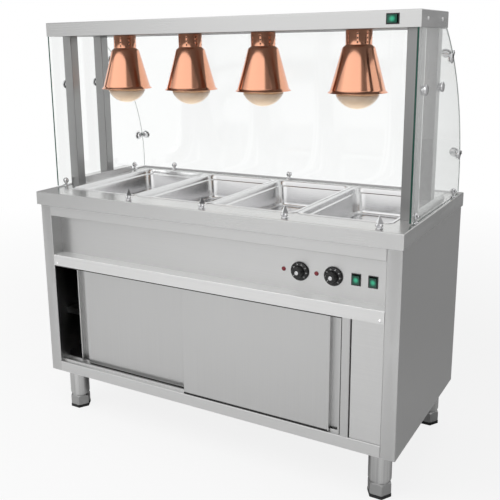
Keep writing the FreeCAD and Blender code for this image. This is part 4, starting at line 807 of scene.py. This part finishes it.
def tube(number, middle, low, high):
    """Leg tube with its stepped toe, and the plate that it is welded to."""
    radius = LEG_RADIUS
    bore = radius - LEG_WALL
    top = high - low - LEG_PLATE_SHEET
    end = top - 0.2 * MM
    profile = [(STEM_HOLE, 0), (33.5 * MM, 0), (35 * MM, 0.8 * MM), (radius - 1 * MM, 8 * MM),
               (radius - 0.2 * MM, 10 * MM), (radius, 13 * MM), (radius, end), (bore, end), (bore, 14 * MM),
               (STEM_HOLE, 12 * MM), (STEM_HOLE, 0)]
    piece = make_object("leg_tube_%d" % number, lathe("leg_tube", profile, 96, 40), (middle.x, middle.y, low))
    settle(piece, "counter", "polished", FINISH["leg"], "legs")
    half = LEG_PLATE / 2
    plate = block("leg_plate", (-half, -half, top), (half, half, top + LEG_PLATE_SHEET), 1 * MM)
    holder = make_object("leg_plate_%d" % number, plate, (middle.x, middle.y, low))
    # the plate takes the darkened inner steel, painted shade under the cabinet
    settle(holder, "counter", "polished", FINISH["inside"])


def hexagon_outline(corner):
    """Six corners round the middle, at a distance."""
    turns = [math.pi / 3 * step for step in range(6)]
    return [(corner * math.cos(turn), corner * math.sin(turn)) for turn in turns]


def foot(name, middle, node, top):
    """Nut-shaped foot on its pad, with the thread above it."""
    corner = FOOT_FLATS / math.sqrt(3)
    hexagon = make_object("hexagon", prism("hexagon", hexagon_outline(corner), PAD_HEIGHT, top, "Z"))
    slope = [(0, PAD_HEIGHT - 2 * MM), (corner - 1.5 * MM, PAD_HEIGHT - SAME_PLACE),
             (corner + 0.5 * MM, PAD_HEIGHT + 2 * MM), (corner + 0.5 * MM, top - 7 * MM),
             (FOOT_FLATS / 2 - 1 * MM, top), (0, top)]
    turned = make_object("turned", lathe("turned", slope, 96, 40))
    trim = hexagon.modifiers.new("crown", "BOOLEAN")
    trim.operation = "INTERSECT"
    trim.object = turned
    trim.solver = "EXACT"
    applied(hexagon)
    bpy.data.objects.remove(turned)
    hexagon.name = "foot_hexagon_" + name
    hexagon.location = (middle.x, middle.y, 0)
    hexagon.data.shade_smooth()
    hexagon.data.set_sharp_from_angle(angle=math.radians(20))
    settle(hexagon, node, "foot_steel", FINISH["hexagon"], node)
    thread = [(0, 0), (THREAD_RADIUS, 0)]
    for turn in range(THREAD_TURNS):
        rise = (THREAD_LENGTH - 2 * MM) * turn / THREAD_TURNS
        thread += [(THREAD_ROOT, rise + 0.6 * MM), (THREAD_RADIUS, rise + 1.8 * MM)]
    thread += [(6.5 * MM, THREAD_LENGTH), (0, THREAD_LENGTH)]
    stem = lathe("foot_thread", thread, 32, 20)
    screw = make_object("foot_thread_" + name, stem, (middle.x, middle.y, top))
    settle(screw, node, "foot_steel", FINISH["hexagon"])
    rubber = prism("foot_pad", hexagon_outline(corner * PAD_OVERSIZE), 0, PAD_HEIGHT, "Z", 1.2 * MM)
    pad = make_object("foot_pad_" + name, rubber, (middle.x, middle.y, 0))
    settle(pad, node, "black_plastic", FINISH["rubber"])


# Glass

GLASS_SHEET = 6 * MM
GLASS_STRAIGHT = 45 * MM
GLASS_ARC_STEPS = 64
GLASS_BEAM_GAP = 11 * MM


def glass_arc():
    """Centre and radius of the curved back, from the boxes of the panes, the beam and the worktop."""
    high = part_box("side_glass_right")[1]
    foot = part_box("worktop")[1].z + GLASS_STRAIGHT
    run = high.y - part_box("beam_cover")[1].y - GLASS_BEAM_GAP
    rise = high.z - foot
    radius = (run * run + rise * rise) / (2 * run)
    return (high.y - radius, foot), radius


def panes():
    """Flat end panes and the curved pane, each with ground edges."""
    low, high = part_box("side_glass_right")
    centre, radius = glass_arc()
    top_angle = math.degrees(math.asin((high.z - centre[1]) / radius))
    outside = arc_points(centre, radius, 0, top_angle, GLASS_ARC_STEPS)
    outline = [(low.y, low.z), (high.y, low.z)] + outside + [(low.y, high.z)]
    for node in ("side_glass_left", "side_glass_right"):
        low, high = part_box(node)
        piece = make_object("end_pane_" + node[11:], prism("end_pane", outline, low.x, high.x, "X"))
        settle(piece, "counter", "pane_glass", FINISH["pane"], node)
        grind(piece, lambda normal: abs(normal.x) < 0.5)
    low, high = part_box("curved_glass")
    inside = arc_points(centre, radius - GLASS_SHEET, top_angle + 0.35, 0, GLASS_ARC_STEPS)
    outline = [(high.y - GLASS_SHEET, low.z), (high.y, low.z)] + outside + inside
    piece = make_object("curved_pane", prism("curved_pane", outline, low.x, high.x, "X"))
    settle(piece, "counter", "pane_glass", FINISH["pane"], "curved_glass")
    grind(piece, lambda normal: abs(normal.x) > 0.5)


def grind(piece, is_edge):
    """Gives a pane's cut edges green glass, with painted shade on the edges that face the front: dark there,
    paler elsewhere.
    """
    mesh = piece.data
    mesh.materials.append(FINISH["edge_painted_shade"])
    mesh.materials.append(FINISH["pale_edge"])
    for face in mesh.polygons:
        if is_edge(face.normal):
            # front-facing edges take the painted shade, the others the pale green
            face.material_index = 1 if face.normal.y < -0.5 else 2


# Glass fittings

CONNECTOR_LIFTS = (150 * MM, 503 * MM)
CONNECTOR_INSET = 26 * MM
CONNECTOR_HEIGHT = 4.6 * MM
CONNECTOR_LINK = 12 * MM
LINK_SHEET = 5 * MM
WASHER = 0.4 * MM
SPACER_RADIUS = 12 * MM
SPACER_WAIST = 11.2 * MM
STANDOFF_CAP = 6 * MM


def disc_profile(radius, height):
    """Turned disc with an eased rim and a shallow hexagon-key hollow in the middle."""
    return [(0, 0), (radius - 0.3 * MM, 0), (radius, 0.4 * MM), (radius, height - 1.2 * MM),
            (radius - 0.4 * MM, height - 0.4 * MM), (radius - 1.4 * MM, height),
            (radius * 0.36, height), (radius * 0.34, height - 0.3 * MM), (radius * 0.3, height - 0.3 * MM),
            (radius * 0.28, height), (3.2 * MM, height), (3.0 * MM, height - 1.6 * MM),
            (0, height - 1.9 * MM)]


def fitting(name, mesh, at, rotation, material="polished", slot="polished", node=None, body="counter"):
    """A small metal piece put in its place."""
    piece = make_object(name, mesh, at)
    piece.rotation_euler = rotation
    stands_for = [node] if node else []
    return settle(piece, body, slot, FINISH[material], *stands_for)


FACING = {"+X": (0, math.pi / 2, 0), "-X": (0, -math.pi / 2, 0), "-Y": (math.pi / 2, 0, 0),
          "+Y": (-math.pi / 2, 0, 0), "+Z": (0, 0, 0)}


def joined(name, pieces):
    """One mesh from several objects, with their places kept."""
    merged = bmesh.new()
    for piece in pieces:
        bpy.context.view_layer.update()
        copy = piece.data.copy()
        copy.transform(piece.matrix_world)
        merged.from_mesh(copy)
        bpy.data.meshes.remove(copy)
        bpy.data.objects.remove(piece)
    mesh = bpy.data.meshes.new(name)
    merged.to_mesh(mesh)
    merged.free()
    mesh.shade_smooth()
    mesh.set_sharp_from_angle(angle=math.radians(35))
    return mesh


def connector_mesh(hand):
    """Corner clamp: a disc and its back plate on each pane, joined by a folded link."""
    inset = CONNECTOR_INSET
    disc = lathe("disc", disc_profile(17 * MM, CONNECTOR_HEIGHT), 48)
    back = lathe("back", disc_profile(13 * MM, CONNECTOR_HEIGHT), 48)
    behind = -(GLASS_SHEET + WASHER)
    outward, inward = ("+X", "-X") if hand > 0 else ("-X", "+X")
    pieces = []
    for mesh, at, way in ((disc, (WASHER * hand, -inset, 0), outward),
                          (back, (behind * hand, -inset, 0), inward),
                          (disc, (-inset * hand, WASHER, 0), "+Y"),
                          (back, (-inset * hand, behind, 0), "-Y")):
        piece = make_object("part", mesh.copy(), at)
        piece.rotation_euler = FACING[way]
        pieces.append(piece)
    half = CONNECTOR_LINK / 2
    for name, start, back_to in (("link", -inset, WASHER), ("wrap", WASHER, -inset)):
        low, high = sorted((start * hand, LINK_SHEET * hand))
        bar = block(name, (low, back_to, -half), (high, LINK_SHEET, half), 0.8 * MM)
        pieces.append(make_object("part", bar))
    return joined("corner_connector", pieces)


def connectors():
    """Two corner clamps on each end of the curved pane."""
    centre, radius = glass_arc()
    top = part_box("worktop")[1].z
    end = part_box("side_glass_right")[1].x
    number = 0
    for hand in (-1, 1):
        mesh = connector_mesh(hand)
        for lift in CONNECTOR_LIFTS:
            number += 1
            lean = math.asin((top + lift - centre[1]) / radius)
            at = (end * hand, centre[0] + radius * math.cos(lean), top + lift)
            fitting("corner_connector_%d" % number, mesh.copy(), at, (lean, 0, 0), node="glass_connectors")


def standoffs():
    """Spacer and domed cap between each post and its end pane."""
    glass_low, glass_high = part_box("side_glass_right")
    cap = lathe("cap", disc_profile(16 * MM, STANDOFF_CAP), 48)
    for number, (low, high) in enumerate(islands("standoffs"), 1):
        y = (low.y + high.y) / 2
        z = (low.z + high.z) / 2
        reach = high.x - low.x - STANDOFF_CAP - (glass_high.x - glass_low.x)
        eased = SPACER_RADIUS - 0.4 * MM
        spacer = [(0, 0), (eased, 0), (SPACER_RADIUS, 0.4 * MM), (SPACER_RADIUS, reach * 0.42),
                  (SPACER_WAIST, reach * 0.5), (SPACER_RADIUS, reach * 0.58),
                  (SPACER_RADIUS, reach - 0.4 * MM), (eased, reach), (0, reach)]
        if high.x > 0:
            inner_x, outer_x, way = low.x, high.x - STANDOFF_CAP, "+X"
        else:
            inner_x, outer_x, way = high.x, low.x + STANDOFF_CAP, "-X"
        fitting("standoff_spacer_%d" % number, lathe("spacer", spacer, 48), (inner_x, y, z), FACING[way],
                node="standoffs")
        fitting("standoff_cap_%d" % number, cap.copy(), (outer_x, y, z), FACING[way])


# Clips and catches on the worktop

CLIP_HEIGHT = 32 * MM
CLIP_BALL = 12 * MM
CLIP_SLOT = 6.4 * MM
CATCH_LOBE = 6.4 * MM
TALLEST_CLIP = 36 * MM


def clip_mesh():
    """Round foot, neck and slotted ball that grips the foot of a pane; the slot runs along Y."""
    ball_up = CLIP_HEIGHT - CLIP_BALL
    profile = [(0, 0), (12.6 * MM, 0), (13 * MM, 0.5 * MM), (12.4 * MM, 2.2 * MM), (10.5 * MM, 3.6 * MM),
               (7.5 * MM, 4.2 * MM), (6 * MM, 5 * MM), (5.8 * MM, 7.5 * MM)]
    profile += [(across, up) for across, up in arc_points((0, ball_up), CLIP_BALL, -58, 90, 18)]
    piece = make_object("clip", lathe("clip", profile, 48, 40))
    half = CLIP_SLOT / 2
    slot = make_object("slot", block("slot", (-half, -30 * MM, 5.7 * MM), (half, 30 * MM, 40 * MM), 0))
    cut = piece.modifiers.new("slot", "BOOLEAN")
    cut.object = slot
    cut.solver = "EXACT"
    applied(piece)
    bpy.data.objects.remove(slot)
    ease = piece.modifiers.new("ease", "BEVEL")
    ease.width = 0.5 * MM
    ease.segments = 2
    ease.angle_limit = math.radians(50)
    applied(piece)
    screw = make_object("screw", lathe("screw", disc_profile(4.2 * MM, 2.4 * MM), 24),
                        (0.6 * MM - CLIP_BALL, 0, ball_up))
    screw.rotation_euler = FACING["-X"]
    return joined("pane_clip", [piece, screw])


def catch_mesh():
    """Round base, two lobes and a pointed four-sided head."""
    base = [(0, 0), (11.6 * MM, 0), (12 * MM, 0.5 * MM), (12 * MM, 2.4 * MM), (10.6 * MM, 4.2 * MM),
            (8.5 * MM, 5 * MM), (5 * MM, 5.4 * MM), (5 * MM, 12 * MM), (0, 12 * MM)]
    pieces = [make_object("base", lathe("base", base, 48, 40))]
    for hand in (-1, 1):
        lobe = [(0, -CATCH_LOBE)] + arc_points((0, 0), CATCH_LOBE, -80, 80, 14) + [(0, CATCH_LOBE)]
        pieces.append(make_object("lobe", lathe("lobe", lobe, 32, 60), (6.5 * MM * hand, -3.2 * MM, 10 * MM)))
    head = [(5 * MM, 7.6 * MM), (12.4 * MM, 16 * MM), (12.9 * MM, 17.2 * MM), (11.6 * MM, 19.2 * MM),
            (4 * MM, 34 * MM), (1.2 * MM, 39.4 * MM), (0, 39.9 * MM)]
    pieces.append(make_object("head", lathe("head", head, 4, 10)))
    mesh = joined("pan_catch", pieces)
    mesh.set_sharp_from_angle(angle=math.radians(25))
    return mesh


def clips():
    """Pane clips round three sides and pan catches along the front."""
    clip = clip_mesh()
    catch = catch_mesh()
    pane_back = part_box("curved_glass")[1].y
    for number, (low, high) in enumerate(islands("worktop_clips"), 1):
        at = ((low.x + high.x) / 2, (low.y + high.y) / 2, low.z)
        if high.z - low.z > TALLEST_CLIP:
            mesh, turn, name = catch, 0, "pan_catch_%d" % number
        else:
            on_back = abs(pane_back - GLASS_SHEET / 2 - at[1]) < 4 * MM
            turn = math.pi / 2 if on_back else (math.pi if at[0] > 0 else 0)
            mesh, name = clip, "pane_clip_%d" % number
        fitting(name, mesh.copy(), at, (0, 0, turn), node="worktop_clips")


def screws():
    """Domed screws at the ends of the ledge rail and of the gantry beam."""
    for number, (low, high) in enumerate(islands("screws"), 1):
        size = high - low
        middle = (low + high) / 2
        radius = size.z / 2
        reach = min(size.x, size.y)
        profile = [(0, 0), (radius, 0), (radius * 0.98, reach * 0.3), (radius * 0.8, reach * 0.75),
                   (radius * 0.5, reach * 0.97), (radius * 0.34, reach), (radius * 0.3, reach * 0.3),
                   (0, reach * 0.25)]
        if size.y < size.x:
            at, way = (middle.x, high.y, middle.z), "-Y"
        elif middle.x > 0:
            at, way = (low.x, middle.y, middle.z), "+X"
        else:
            at, way = (high.x, middle.y, middle.z), "-X"
        fitting("domed_screw_%d" % number, lathe("screw", profile, 32, 50), at, FACING[way], "bright",
                node="screws")


# Black strips that paint the shade of the gaps along the doors

STRIP_SET_BACK = 1.2 * MM
PULL_WIDTH = 42 * MM


def strips():
    """Black strips as painted shade: in the gap behind the ledge's lip, along the feet of the doors and
    between the right door and the stile.
    """
    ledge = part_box("ledge_rail")[0]
    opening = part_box("control_fascia")[0]
    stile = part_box("divider_wall")[0]
    right_low, right_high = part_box("door_right")
    left_low, left_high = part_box("door_left")
    bars = [
        ("shade_strip_under_ledge", "counter",
         (opening.x + 2 * MM, ledge.y + 2.2 * MM, ledge.z - 4.5 * MM),
         (stile.x - 1 * MM, right_low.y - 0.4 * MM, ledge.z + 12 * MM)),
        ("shade_strip_right_door_foot", "door_right",
         (right_low.x + 1 * MM, right_low.y - STRIP_SET_BACK, right_low.z - 1.4 * MM),
         (right_high.x - PULL_WIDTH, right_low.y + 0.1 * MM, right_low.z + 4 * MM)),
        ("shade_strip_left_door_foot", "door_left",
         (left_low.x + PULL_WIDTH, left_low.y - STRIP_SET_BACK, left_low.z - 1 * MM),
         (left_high.x - 1 * MM, left_low.y + 0.1 * MM, left_low.z + 2.5 * MM)),
        ("shade_strip_right_door_edge", "door_right",
         (right_high.x, right_low.y + 0.6 * MM, right_low.z + 2 * MM),
         (stile.x - 0.4 * MM, right_high.y - 1 * MM, right_high.z - 2 * MM)),
    ]
    # each bar is painted shade, a black strip where the real counter has only a shadowed gap
    for name, body, low, high in bars:
        piece = make_object(name, block(name, low, high, 0.3 * MM))
        settle(piece, body, "black_plastic", FINISH["rubber"])


# Dials

FLUTES = 24
FLUTE_DEPTH = 0.35 * MM
DIAL_STEPS = 192
DIAL_MARKS = 8
FIRST_MARK = 225
MARKED_SWEEP = 270
SKIRT_TOP = 6.1 * MM
GRIP_TOP = 28.9 * MM


def dial_body_mesh(radius):
    """Skirted dial with a fluted, slightly tapered grip, facing up."""
    profile = [
        (0, 0.2 * MM), (radius - 1.5 * MM, 0), (radius, 1.5 * MM), (radius - 0.1 * MM, 3 * MM),
        (radius - 1.2 * MM, 4.8 * MM), (radius - 3 * MM, 6 * MM), (21 * MM, SKIRT_TOP), (19.4 * MM, 6.8 * MM),
        (18.9 * MM, 8.5 * MM), (16.8 * MM, 26 * MM), (16.2 * MM, 27.8 * MM), (14.8 * MM, 28.8 * MM),
        (12 * MM, GRIP_TOP), (10.8 * MM, 28.2 * MM), (7.4 * MM, 28 * MM), (6.6 * MM, 28 * MM), (0, 28 * MM),
    ]
    points = []
    for across, up in profile:
        for step in range(DIAL_STEPS):
            turn = 2 * math.pi * step / DIAL_STEPS
            flute = FLUTE_DEPTH * math.cos(FLUTES * turn) if 8 * MM < up < 27 * MM else 0
            reach = max(across + flute, 0)
            points.append((reach * math.cos(turn), reach * math.sin(turn), up))
    mesh = make_mesh("dial", points, loft_faces(len(profile), DIAL_STEPS), 40)
    weld(mesh)
    return mesh


def dial_print_mesh(radius):
    """Ticks and plain numbers round the skirt, as one raised print, facing up."""
    pieces = []
    for index in range(DIAL_MARKS):
        angle = math.radians(FIRST_MARK - MARKED_SWEEP * index / (DIAL_MARKS - 1))
        tick = make_object("tick", block("tick", (radius - 5.6 * MM, -0.25 * MM, 5.95 * MM),
                                         (radius - 3.2 * MM, 0.25 * MM, SKIRT_TOP + 0.02 * MM), 0))
        tick.rotation_euler = (0, 0, angle)
        pieces.append(tick)
        curve = bpy.data.curves.new("number", "FONT")
        curve.body = "0" if index == 0 else str(20 + 10 * index)
        curve.size = 5.2 * MM
        curve.extrude = 0.06 * MM
        curve.align_x = "CENTER"
        curve.align_y = "CENTER"
        writing = bpy.data.objects.new("number", curve)
        bpy.context.scene.collection.objects.link(writing)
        bpy.context.view_layer.update()
        graph = bpy.context.evaluated_depsgraph_get()
        mesh = bpy.data.meshes.new_from_object(writing.evaluated_get(graph))
        bpy.data.objects.remove(writing)
        reach = radius - 8.6 * MM
        number = make_object("number", mesh, (reach * math.cos(angle), reach * math.sin(angle), SKIRT_TOP))
        number.rotation_euler = (0, 0, angle - math.pi / 2)
        pieces.append(number)
    pointer = block("pointer", (-0.5 * MM, 8 * MM, GRIP_TOP - 0.05 * MM),
                    (0.5 * MM, 15 * MM, GRIP_TOP + 0.08 * MM), 0)
    line = make_object("pointer", pointer)
    line.rotation_euler = (0, 0, math.radians(135))
    pieces.append(line)
    return joined("dial_print", pieces)


def dials():
    """Two thermostat dials with printed scales and bright caps."""
    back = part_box("control_fascia")[0].y - 0.6 * MM
    facing = FACING["-Y"]
    cap = [(0, 27 * MM), (6.4 * MM, 27 * MM), (6.4 * MM, 28.3 * MM), (5.6 * MM, 28.8 * MM), (0, 28.95 * MM)]
    for name in ("knob_well", "knob_cupboard"):
        low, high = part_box(name)
        radius = (high.x - low.x) / 2
        at = ((low.x + high.x) / 2, back, (low.z + high.z) / 2)
        which = name[5:]
        bright = lathe("cap", cap, 48, 40)
        fitting("dial_" + which, dial_body_mesh(radius), at, facing, "black", "black_plastic", name, name)
        fitting("dial_print_" + which, dial_print_mesh(radius), at, facing, "print", "nylon", None, name)
        fitting("dial_cap_" + which, bright, at, facing, "polished", "polished", None, name)


# Studio

# Azimuth in degrees and brightness of the walls that metal reflects, near the floor and above.
ROOM_NEAR = [(-180, 0.2), (-168, 0.3), (-156, 0.45), (-138, 0.5), (-122, 0.95), (-92, 0.95), (-86, 0.7),
             (-80, 0.95), (-56, 0.9), (-50, 0.06), (-30, 0.06), (-24, 0.4), (-14, 0.35), (-10, 0.08),
             (12, 0.1), (28, 0.45), (72, 0.4), (84, 0.12), (150, 0.12), (180, 0.2)]
ROOM_HIGH = [(-180, 0.5), (-158, 0.8), (-140, 1.25), (-56, 1.25), (-50, 0.12), (-28, 0.12), (-20, 0.4),
             (12, 0.25), (30, 0.6), (80, 0.75), (180, 0.5)]
CEILING = (0.85, 0.85, 0.85, 1)
WHITE = (1, 1, 1, 1)
SKY_LEVEL = 0.6
FLOOR_WHITE_SHARE = 0.85
FLOOR_HALF = 9
FLOOR_SHEET = 0.02
PAINTED_SHADE_DIRECTION = (0.55, 0.83, 0.0)


def room_bands(tree, place, stops):
    """Brightness round the room, from azimuths in degrees."""
    sweep = tree.nodes.new("ShaderNodeTexGradient")
    sweep.gradient_type = "RADIAL"
    tree.links.new(place, sweep.inputs["Vector"])
    bands = tree.nodes.new("ShaderNodeValToRGB")
    points = bands.color_ramp.elements
    while len(points) > 1:
        points.remove(points[0])
    for number, (azimuth, level) in enumerate(stops):
        position = azimuth / 360 + 0.5
        point = points[0] if number == 0 else points.new(position)
        point.position = position
        point.color = (level, level, level, 1)
    tree.links.new(sweep.outputs["Fac"], bands.inputs["Fac"])
    return bands.outputs["Color"]


def background(tree, color, strength=1.0):
    """A Background shader."""
    node = tree.nodes.new("ShaderNodeBackground")
    feed(tree, (node.inputs["Color"], node.inputs["Strength"]), (color, strength))
    return node.outputs["Background"]


def room():
    """White paper to the camera; soft white walls with dark gaps between them to reflections."""
    world = bpy.data.worlds.new("studio")
    bpy.context.scene.world = world
    world.use_nodes = True
    tree = world.node_tree
    place = tree.nodes.new("ShaderNodeTexCoord").outputs["Generated"]
    split = tree.nodes.new("ShaderNodeSeparateXYZ")
    tree.links.new(place, split.inputs[0])
    height = split.outputs["Z"]
    walls = mix_colors(tree, ramp(tree, height, 0.12, 0.34), room_bands(tree, place, ROOM_NEAR),
                       room_bands(tree, place, ROOM_HIGH))
    tent = background(tree, mix_colors(tree, ramp(tree, height, 0.55, 0.85), walls, CEILING))
    glossy = tree.nodes.new("ShaderNodeLightPath").outputs["Is Glossy Ray"]
    by_bounce = mix_shaders(tree, glossy, background(tree, WHITE, SKY_LEVEL), tent)
    seen = either_ray(tree, "Is Camera Ray", "Is Transmission Ray")
    blend = mix_shaders(tree, seen, by_bounce, background(tree, WHITE))
    tree.links.new(blend, tree.nodes["World Output"].inputs["Surface"])


def floor_finish():
    """Pale floor that fades to white where the camera sees it, and keeps the shadow near the counter; its
    colour darkens away from the camera, a painted shade that the side panels reflect.
    """
    material, tree, shader = new_material("pale_floor")
    shader.inputs["Roughness"].default_value = 0.6
    place = tree.nodes.new("ShaderNodeTexCoord").outputs["Object"]
    painted_shade_reach = in_space(tree, "DOT_PRODUCT", place, PAINTED_SHADE_DIRECTION)
    # painted shade: the floor's colour falls from 0.62 near the camera to 0.38 behind the counter
    tree.links.new(ramp(tree, painted_shade_reach, -0.6, 1.8, 0.62, 0.38), shader.inputs["Base Color"])
    fade = ramp(tree, in_space(tree, "LENGTH", place), 1.4, 4.5, FLOOR_WHITE_SHARE, 1.0)
    white = tree.nodes.new("ShaderNodeEmission")
    white.inputs["Color"].default_value = WHITE
    seen = either_ray(tree, "Is Camera Ray", "Is Transmission Ray")
    share = calculate(tree, "MULTIPLY", seen, fade)
    blend = mix_shaders(tree, share, shader.outputs["BSDF"], white.outputs["Emission"])
    tree.links.new(blend, tree.nodes["Material Output"].inputs["Surface"])
    return material


def lamp(name, at, target, size, power):
    """A square soft lamp aimed at a point."""
    light = bpy.data.lights.new(name, "AREA")
    light.size = size
    light.energy = power
    holder = bpy.data.objects.new(name, light)
    bpy.context.scene.collection.objects.link(holder)
    holder.location = at
    aim = Vector(target) - Vector(at)
    holder.rotation_euler = aim.to_track_quat("-Z", "Y").to_euler()
    holder.visible_glossy = False


def studio():
    """Pale floor, white surroundings and two soft lamps."""
    half = FLOOR_HALF
    floor = make_object("floor", block("floor", (-half, -half, -FLOOR_SHEET), (half, half, 0), 0.0))
    floor.data.materials.append(floor_finish())
    room()
    lamp("key", (-1.6, -3.0, 2.6), (-0.6, -1.5, 0), 2.4, 40)
    lamp("front", (0.0, -1.7, 2.9), (0.0, -0.9, 0), 2.0, 45)


# Camera at the photograph's viewpoint

EYE = (1.3500, -2.3924, 1.4537)
TILT = (76.792, 0.902, 30.993)
FOCAL = 53.5
SENSOR = 36
SHIFT = (0.0556, -0.0612)


def camera():
    """The camera, with its framing."""
    data = bpy.data.cameras.new("camera")
    data.lens = FOCAL
    data.sensor_width = SENSOR
    data.shift_x, data.shift_y = SHIFT
    holder = bpy.data.objects.new("camera", data)
    bpy.context.scene.collection.objects.link(holder)
    holder.location = EYE
    holder.rotation_euler = [math.radians(angle) for angle in TILT]
    bpy.context.scene.camera = holder


camera()
dress_nodes()
lamps()
pans()
legs()
panes()
connectors()
standoffs()
clips()
screws()
strips()
dials()
studio()
bpy.context.scene.view_settings.view_transform = "Standard"
